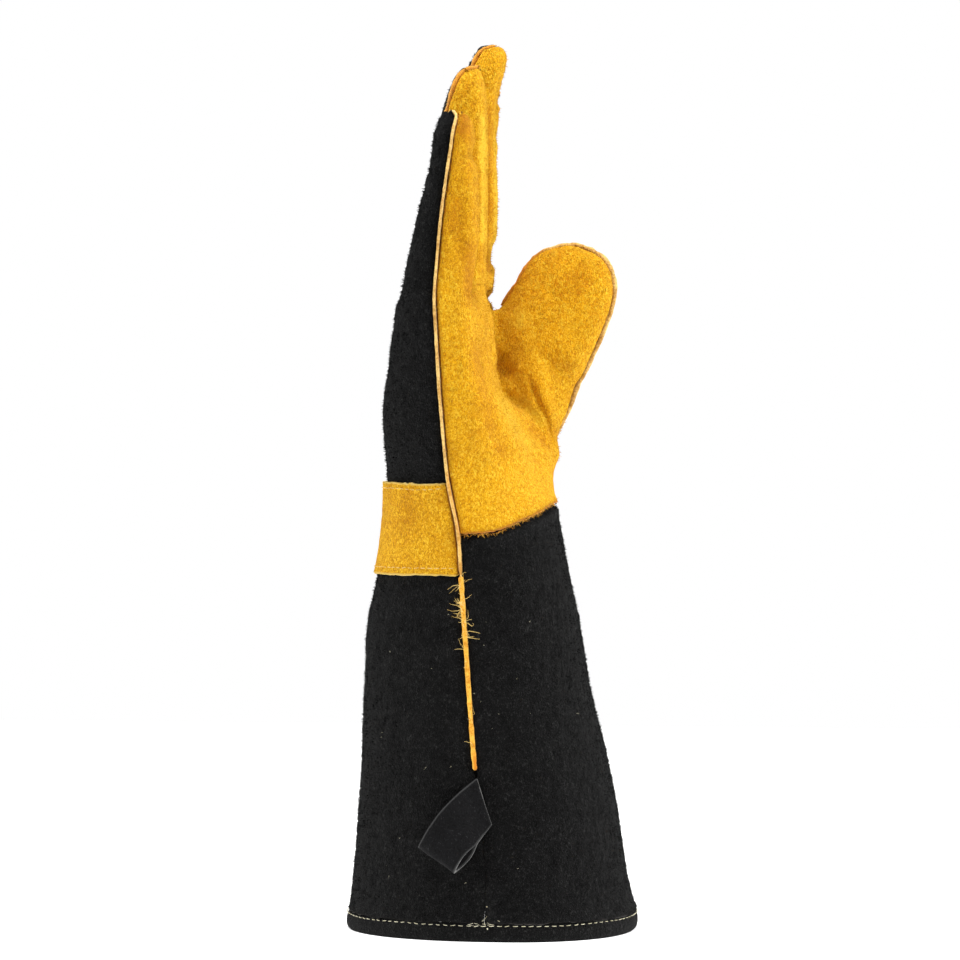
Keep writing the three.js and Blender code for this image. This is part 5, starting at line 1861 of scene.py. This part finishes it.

# Folds of palm and thumb, of the fingers, and places where only painted shade, painted highlight or wear
# change the colour. Each has its line, depth, reach to the left and right, range of y, fades at both ends,
# and painted shade, which is painted highlight where negative.
PALM_FOLDS = (
    Fold(PALM_CREASE, 0.8, 2.0, 1.6, -14, 33, (0.2, 0.35)),
    Fold(((2.5, 267), (4.5, 258), (9, 251)), 2.3, 3.8, 4.0, 10, 33, (0.35, 0.35), 0.45),
    Fold(((1.6, 270), (2.0, 262), (3.6, 255)), 0, 1.9, 1.9, 4, 36, (0.2, 0.2), 0.6),
    Fold(THUMB_CREASE, 1.8, 2.8, 1.1, 6, 36, (0.25, 0.2), 0.4),
    Fold(THUMB_CREST, -0.9, 3.4, 2.4, 6, 36, (0.3, 0.2)),
    Fold(((8.5, 246.5), (14, 242), (19.9, 236.5), (26, 228)), 0, 2.8, 2.4, 6, 36, (0.2, 0.2), -0.5),
    Fold(PALM_RIDGE, -0.8, 3, 3, -40, 34, (0.3, 0.3), -0.5),
    Fold(PALM_VALLEY, 1.0, 3, 5, -60, 14, (0.2, 0.15), 0.35),
    Fold(((15, 232), (22.4, 225.6), (27.5, 218)), 0.6, 2.2, 2.4, -20, 36, (0.25, 0.2), 0.5),
    Fold(((1.5, 285), (2.2, 272), (1.4, 255)), -1.3, 4, 4, -12, 16),
    Fold(((-0.6, 302), (0, 297), (-0.6, 294)), -1.0, 3, 3, -4, 26, (0.1, 0.1), -0.3),
    Fold(((-5, 293.4), (-1, 291), (2, 290.4)), 2.8, 2.3, 2.3, -12, 56, (0.3, 0.1), 0.3),
    Fold(((-1, 320), (0.5, 310), (0, 304)), 2.6, 3.2, 3.2, -5, 60, (0.3, 0.3), 0.2),
)
FINGER_FOLDS = (
    Fold(((-13.2, 334), (-14.4, 316), (-13.8, 298)), 0.9, 2.6, 2.6, -62, -34, tone=0.2),
    Fold(((-10.6, 318), (-10.4, 302), (-9.4, 278)), 0.8, 2.8, 2.8, -62, -28, (0.3, 0.3), 0.6),
    Fold(((-17.2, 332), (-17.8, 322), (-18.6, 312)), 0, 2.8, 2.8, -62, -28, (0.3, 0.3), 0.4),
    Fold(((-13, 368.4), (-13.2, 362), (-13.8, 355)), 0, 2.6, 2.4, -62, -30, (0.01, 0.5), 1.1),
    Fold(((-20, 350), (-10, 351), (0, 352)), 2.2, 4.0, 4.0, -60, -33, (0.4, 0.01)),
    Fold(((-20, 372), (-15.5, 371.5)), 1.5, 2.6, 2.6, -60, -33, (0.1, 0.1)),
    Fold(RING_SHADOW, 0, 1.5, 1.5, -28, -5, (0.1, 0.1), 0.7),
    Fold(((-3.7, 333), (-5.5, 307), (-3.2, 299)), 0.7, 2.0, 2.0, -34, -4, tone=0.2),
    Fold(((-4.6, 374), (-4.4, 340), (-4.2, 309)), 0, 1.6, 1.6, -30, -3, (0.1, 0.1), -0.8),
    Fold(((-13, 384), (-9, 382)), 0, 4, 4, -30, -2, (0.1, 0.1), 0.4),
    Fold(((-1.2, 382), (-1.2, 340), (-1.2, 296)), 1.5, 1.5, 1.5, -1, 18, (0.1, 0.1), 0.75),
    Fold(((2.4, 378), (2.4, 350), (2, 310)), 0, 1.3, 1.3, 4, 60, (0.1, 0.1), -0.8),
    Fold(((-3, 391.5), (6, 389)), 1.1, 5, 5, 33, 60, (0.02, 0.02)),
    Fold(((2.5, 380.6), (3.9, 373.6), (2.9, 363)), 1.6, 3.5, 3.5, 28, 60, (0.1, 0.25)),
    Fold(((-22, 362), (-31, 336), (-36, 316), (-41, 285), (-43, 262)), 1.2, 5, 5, -80, 80, (0.2, 0.2)),
)
# Painted shade and painted highlight only, on the thumb, the little finger and low on the back, and a
# brighter worn scuff on the cuff.
SHADE_AND_WEAR_SPOTS = (
    Fold(((36, 303), (44, 293)), 0, 9, 9, 0, 60, (0.01, 0.01), 0.45),
    Fold(((15, 284), (11, 276)), 0, 5, 5, 0, 60, (0.01, 0.01), -0.4),
    Fold(((-36.2, 204), (-36.2, 176)), 0, 5, 5, -80, -20, (0.2, 0.2), 0.25),
    Fold(((-4.6, 28), (-1.5, 10)), 0, 4, 4, -80, -40, (0.2, 0.01), -0.4),
    Fold(((-12, 366), (-13, 300)), 0, 9, 9, -62, -28, (0.05, 0.3), 0.2),
)


@dataclass(frozen=True)
class Band(Panel):
    """The wrist band: the covered stretches of both back panels, as a second layer."""

    lift: float = BAND_LIFT
    seam_drop: float = 1.5
    seam_reach: float = 6.0

    def layer(self, cut: Cut) -> Array:
        """High over the skin, less a bell curve of the distance to the side seams, where it is sewn in."""
        return self.lift - self.seam_drop * bell(cut.to_welt, self.seam_reach)

    def faces(self, skin: Skin) -> Array:
        """All faces under the band."""
        return skin.region == Region.BAND.value


PANELS = (
    Panel("palm_panel", Piece.PALM, PANEL_THICK, YELLOW_LEATHER, 31),
    Panel("ring_finger_front", Piece.RING_FRONT, PANEL_THICK, YELLOW_LEATHER, 32),
    Panel("middle_finger_front", Piece.MIDDLE_FRONT, PANEL_THICK, YELLOW_LEATHER, 33),
    Panel("back_panel", Piece.BACK, PANEL_THICK, BLACK_LEATHER, 34, rough=2.6),
    Panel("thumb_back", Piece.THUMB_BACK, PANEL_THICK, YELLOW_LEATHER, 35),
    Band("wrist_band", Piece.BAND, BAND_THICK, BAND_LEATHER, 36, flare=0.2),
    CuffPalm("cuff_palm", Piece.CUFF_PALM, CUFF_THICK, BLACK_LEATHER, 37, rough=3.0),
    Panel("cuff_back", Piece.CUFF_BACK, CUFF_THICK, BLACK_LEATHER, 38, rough=3.0),
)
HAND_WELT = SeamStrip("hand_welt", CREAM, "welt_cream", wide=1.1, fill=0.28)
THUMB_WELT = SeamStrip("thumb_welt", CREAM, "welt_cream", lean=0.3, lift=0.3, seed=13)
CUFF_PIPING = SeamStrip("cuff_piping", GOLD, "piping_gold", wide=2, taper=1, seed=23)

# Stitches: name, thread, slot, pitch, length and radius.
BAND_STITCHES = Stitching("band_stitches", CREAM_THREAD, "welt_cream", 3.3, 2.1, 0.17)
HEM_STITCHES = Stitching("hem_stitches", WHITE_THREAD, "welt_cream", 3.5, 1.9, 0.13)

# The nap: name, finish, slot, number of flakes and width.
BLACK_NAP = Nap("black_nap", BLACK, "suede_black", 40000, 0.27)
YELLOW_NAP = Nap("yellow_nap", YELLOW, "suede_yellow", 14000, 0.16)

# Strands: name, thread, slot, shortest and longest, radius, curl, steps, corners and seed.
PIPING_THREADS = Strands("piping_threads", CREAM_THREAD, "piping_gold", (3, 9), 0.15, 0.42, 14)
TIP_FUZZ = Strands("tip_fuzz", ORANGE_FIBRE, "welt_cream", (0.6, 1.7), 0.12, 0.3, 4, 3, 12)
PALM_FRAY = Strands("palm_fray", GOLD, "suede_yellow", (1.0, 3.4), 0.15, 0.3, 4, 3, 6)
SEAM_KNOTS = Strands("seam_knots", WHITE_THREAD, "welt_cream", (0.7, 1.0), 0.36, 0.6, 4, 5, 8)
HEM_THREADS = Strands("hem_threads", WHITE_THREAD, "welt_cream", (1.5, 4), 0.1, 0.2, 6, 3, 9)
LINT = Strands("lint", WHITE_THREAD, "welt_cream", (0.3, 1.8), 0.07, 0.3, 5, 3, 10)


@dataclass(frozen=True)
class Glove:
    """The leather of the glove and what is sewn with it. Its sizes are where seams and nap change."""

    skin: Skin
    band_warm: float = 0.4
    index_sink: float = 0.6
    thumb_sink: float = 1.3
    band_inset: float = 3.4
    band_thread: float = 0.2
    hem_stitch_high: float = 7.4
    hem_stitch_out: float = 0.62
    hem_stitch_points: int = 700

    def leather(self) -> None:
        """The panels of the hand, the wrist band and the cuff."""
        for panel in PANELS:
            panel.build(self.skin)

    def seams(self) -> None:
        """The welts in the hand's and the thumb's seams and the cuff's piping.

        The hand's welt is warm on the longer fingers and beside the band, and sinks at the index fingertip.
        The thumb's is warm to the inner side and sinks at its foot; the piping is warm at its foot.
        """
        seams = self.skin.net.strip_seams()
        hand, thumb, piping = (self.skin.trace(seam, STRIP_STEP) for seam in seams)
        y, z = hand[0][:, 1], hand[0][:, 2]
        warm = np.maximum(finger_share(hand[0]), self.band_warm * beside_band(hand[0]))
        HAND_WELT.build(*hand, warm, self.index_sink * ease((y - 30) / 5) * ease((z - 381) / 4))
        x, z = thumb[0][:, 0], thumb[0][:, 2]
        THUMB_WELT.build(*thumb, ease((24 - x) / 14), self.thumb_sink * ease((243 - z) / 12))
        CUFF_PIPING.build(*piping, ease((84 - piping[0][:, 2]) / 6))

    def sewing(self) -> None:
        """The stitches of the band, near both its edges, and of the hem."""
        net = self.skin.net
        rows = []
        for ring, inset in ((net.cuff_rings[-2], self.band_inset), (net.hand_rings[1], -self.band_inset)):
            numbers = np.append(ring[COLUMN["radial"] :], ring[0])
            path = open_path(net.points[numbers], STRIP_STEP)[3:-3] + np.array([0, 0, inset])
            line, out = self.skin.follow(path)
            rows.append((line + out * (BAND_LIFT + self.band_thread), out))
        BAND_STITCHES.build(rows)
        path, out = Hem().ring(self.hem_stitch_high, self.hem_stitch_points, self.hem_stitch_out)
        path = path + noise(path, 17, 61)[:, None] * np.array([0, 0, 0.35])
        HEM_STITCHES.build([(np.append(path, path[:1], 0), np.append(out, out[:1], 0))])

    def nap(self) -> None:
        """The fuzz of the suede, a piece for each colour, where no other layer covers it."""
        skin = self.skin
        black = np.isin(skin.piece, [piece.value for piece in (*DARK_SIDE, Piece.CUFF_PALM)])
        bare = (skin.region == Region.OPEN.value) & (skin.points[skin.quads[:, 0], 2] >= HEM_HIGH)
        BLACK_NAP.build(skin.points, skin.quads[black & bare], skin.normals)
        YELLOW_NAP.build(skin.points, skin.quads[~black & bare], skin.normals)


@dataclass(frozen=True)
class Threads:
    """The loose threads, frayed fibres, knots and lint. One random generator serves them in turn.

    Boxes are the lowest and the highest x and z in which a kind of thread lies on the cuff's side.
    """

    skin: Skin
    seed: int = 17
    piping_count: int = 60
    piping_from: float = 118.0
    piping_soft: float = 30.0
    to_back: float = 0.75
    fuzz_count: int = 900
    fuzz_from: float = 352.0
    fuzz_side: float = 24.0
    fray_count: int = 420
    knots: tuple[Pair, ...] = ((5.6, 15.9), (5.9, 6.2))
    hem_count: int = 9
    hem_box: tuple[Pair, ...] = ((-3, 7.8), (12, 9.6))
    lint_count: int = 26
    lint_box: tuple[Pair, ...] = ((-50, 20), (45, 150))
    off: float = 0.7

    def build(self) -> None:
        """Makes every kind in turn."""
        rng = np.random.default_rng(self.seed)
        self.piping(rng)
        self.tips(rng)
        self.palm_edge(rng)
        self.cuff_lint(rng)

    def piping(self, rng: np.random.Generator) -> None:
        """Loose threads that leave the cuff's piping sideways, most of them near its top."""
        count = self.piping_count
        path, out = self.skin.trace(self.skin.net.piping_seam(), THREAD_STEP)
        high = ease((path[:, 2] - self.piping_from) / self.piping_soft) + 0.02
        spots = rng.choice(len(path), count, p=high / high.sum())
        aside = np.where(rng.random((count, 1)) < self.to_back, -1.0, 1.0) * np.array([1, 0, 0])
        aside = aside * rng.uniform(0.5, 1, (count, 1))
        ways = unit(out[spots] * 0.5 + aside + rng.normal(0, 0.5, (count, 3)))
        PIPING_THREADS.build(path[spots] + out[spots] * 0.6, ways)

    def tips(self, rng: np.random.Generator) -> None:
        """The fuzz of fibres along the seam over the longer fingertips."""
        count = self.fuzz_count
        path, out = self.skin.trace(self.skin.net.hand_seam(), FUZZ_STEP)
        high = (path[:, 2] > self.fuzz_from) & (path[:, 1] < self.fuzz_side)
        spots = rng.choice(np.flatnonzero((finger_share(path, out) > 0.6) & high), count)
        way = unit(np.gradient(path, axis=0))
        side = unit(np.cross(way, out))[spots]
        sense = rng.choice([-1.0, 1.0], (count, 1))
        ways = unit(way[spots] * sense + rng.normal(0, 0.5, (count, 3)) + out[spots] * 0.4)
        aside = side * rng.uniform(0.5, 1.6, (count, 1))
        TIP_FUZZ.build(path[spots] + aside + out[spots] * rng.uniform(-0.3, 0.4, (count, 1)), ways)

    def palm_edge(self, rng: np.random.Generator) -> None:
        """Fibres that hang from the palm's cut lower edge."""
        count = self.fray_count
        ring = self.skin.net.cuff_rings[-1][: COLUMN["radial"] + 1]
        path, out = self.skin.trace(ring, THREAD_STEP)
        spots = rng.integers(0, len(path), count)
        down = np.array([0, 0, -1.0]) + rng.normal(0, 0.55, (count, 3))
        roots = path[spots] + out[spots] * rng.uniform(-1.2, 0.7, (count, 1)) + np.array([0, 0, 0.4])
        PALM_FRAY.build(roots, unit(down + out[spots] * 0.3))

    def cuff_lint(self, rng: np.random.Generator) -> None:
        """The knots at the seam's foot, the thread ends at the hem and the lint on the cuff's side."""
        hem = rng.uniform(*self.hem_box, (self.hem_count, 2))
        lint = rng.uniform(*self.lint_box, (self.lint_count, 2))
        x, z = np.concatenate([np.array(self.knots), hem, lint]).T
        roots = np.stack([x, -cuff_side(x, z) - self.off, z], -1)
        ways = unit(rng.normal(0, 1, roots.shape) * np.array([1, 0.15, 0.5]))
        ends = [len(self.knots), len(self.knots) + self.hem_count]
        knots, hem, lint = np.split(np.arange(len(roots)), ends)
        SEAM_KNOTS.build(roots[knots], ways[knots])
        low = roots[hem] - np.array([0, 0.5, 0])
        HEM_THREADS.build(low, unit(ways[hem] * np.array([1, 1, 0.2])))
        LINT.build(roots[lint], ways[lint])


# The lamps: name, place in metres and watts.
LAMPS = (
    ("left", (-1.35, -0.4, 0.5), 12),
    ("right", (1.35, -0.4, 0.5), 12),
    ("behind", (1.3, 0.35, 0.6), 8),
    ("top", (0, -0.3, 1.9), 43),
)


@dataclass(frozen=True)
class Studio:
    """A plain pale floor and room, soft lights and the camera.

    The camera looks level from azimuth degrees round from the little-finger side.
    """

    azimuth: float = VIEW_TURN
    distance: float = 1600.0
    height: float = 205.1
    aside: float = -5.52
    lens: float = 130.43
    sensor: float = 36.0
    floor_half: float = 1300.0
    floor_grey: float = 0.9
    floor_glow: float = 0.6
    floor_rough: float = 0.8
    ambient: float = 0.16
    lamp_size: float = 0.8
    lamp_target: tuple[float, float, float] = (0, 0, 0.2)

    def build(self) -> None:
        """Makes the floor, the lights, the world and the camera."""
        self.floor()
        for name, where, watts in LAMPS:
            self.light(name, where, watts)
        self.room()
        self.camera()
        bpy.context.scene.view_settings.view_transform = "Standard"

    def floor(self) -> None:
        """The pale floor that the glove stands on, which also glows a little."""
        half = self.floor_half
        corners = np.array([(-half, -half, 0), (half, -half, 0), (half, half, 0), (-half, half, 0)])
        mesh = make_mesh("floor", corners - FRAME_SHIFT, np.array([[0, 1, 2, 3]]))
        tree = Tree("pale_floor")
        tree.fill(tree.shader, Base_Color=[*[self.floor_grey] * 3, 1], Roughness=self.floor_rough)
        tree.fill(tree.shader, Emission_Color=[1, 1, 1, 1], Emission_Strength=self.floor_glow)
        mesh.materials.append(tree.material)
        floor = link("floor", mesh)

    def camera(self) -> None:
        """The camera, level, at its distance from the glove's middle."""
        turn = math.radians(self.azimuth)
        away = np.array([math.sin(turn), -math.cos(turn), 0])
        right = np.array([math.cos(turn), math.sin(turn), 0])
        target = (right * self.aside + np.array([0, 0, self.height]) + FRAME_SHIFT) * MM
        data = bpy.data.cameras.new("camera")
        data.lens = self.lens
        data.sensor_width = self.sensor
        camera = link("camera", data)
        camera.location = target + away * self.distance * MM
        camera.rotation_euler = (math.pi / 2, 0, turn)
        bpy.context.scene.camera = camera

    def room(self) -> None:
        """A white room: bright where the camera sees it, dimmer as a light."""
        world = bpy.data.worlds.new("room")
        bpy.context.scene.world = world
        world.use_nodes = True
        nodes, links = world.node_tree.nodes, world.node_tree.links
        seen = nodes.new("ShaderNodeLightPath").outputs["Is Camera Ray"]
        strength = nodes.new("ShaderNodeMapRange")
        strength.inputs["To Min"].default_value = self.ambient
        strength.inputs["To Max"].default_value = 1.0
        links.new(seen, strength.inputs["Value"])
        links.new(strength.outputs[0], nodes["Background"].inputs["Strength"])
        nodes["Background"].inputs["Color"].default_value = (1, 1, 1, 1)

    def light(self, name: str, where: tuple[float, float, float], watts: float) -> None:
        """A square area light, placed in metres and aimed at the glove's middle."""
        data = bpy.data.lights.new(name, "AREA")
        data.size = self.lamp_size
        data.energy = watts
        lamp = link(name, data)
        lamp.location = where
        aim = Vector(self.lamp_target) - Vector(where)
        lamp.rotation_euler = aim.to_track_quat("-Z", "Y").to_euler()


def main() -> None:
    """Builds the glove and the studio, and logs the skin's point and face counts."""
    skin = Skin(SkinNet())
    skin.shape(PALM_FOLDS + FINGER_FOLDS + SHADE_AND_WEAR_SPOTS)
    log.info("skin: %d points, %d faces", len(skin.points), len(skin.quads))
    glove = Glove(skin)
    glove.leather()
    glove.seams()
    Hem().build()
    HangLoop().build()
    glove.sewing()
    glove.nap()
    Threads(skin).build()
    Studio().build()


if __name__ == "__main__":
    logging.basicConfig(level=logging.INFO)
    main()
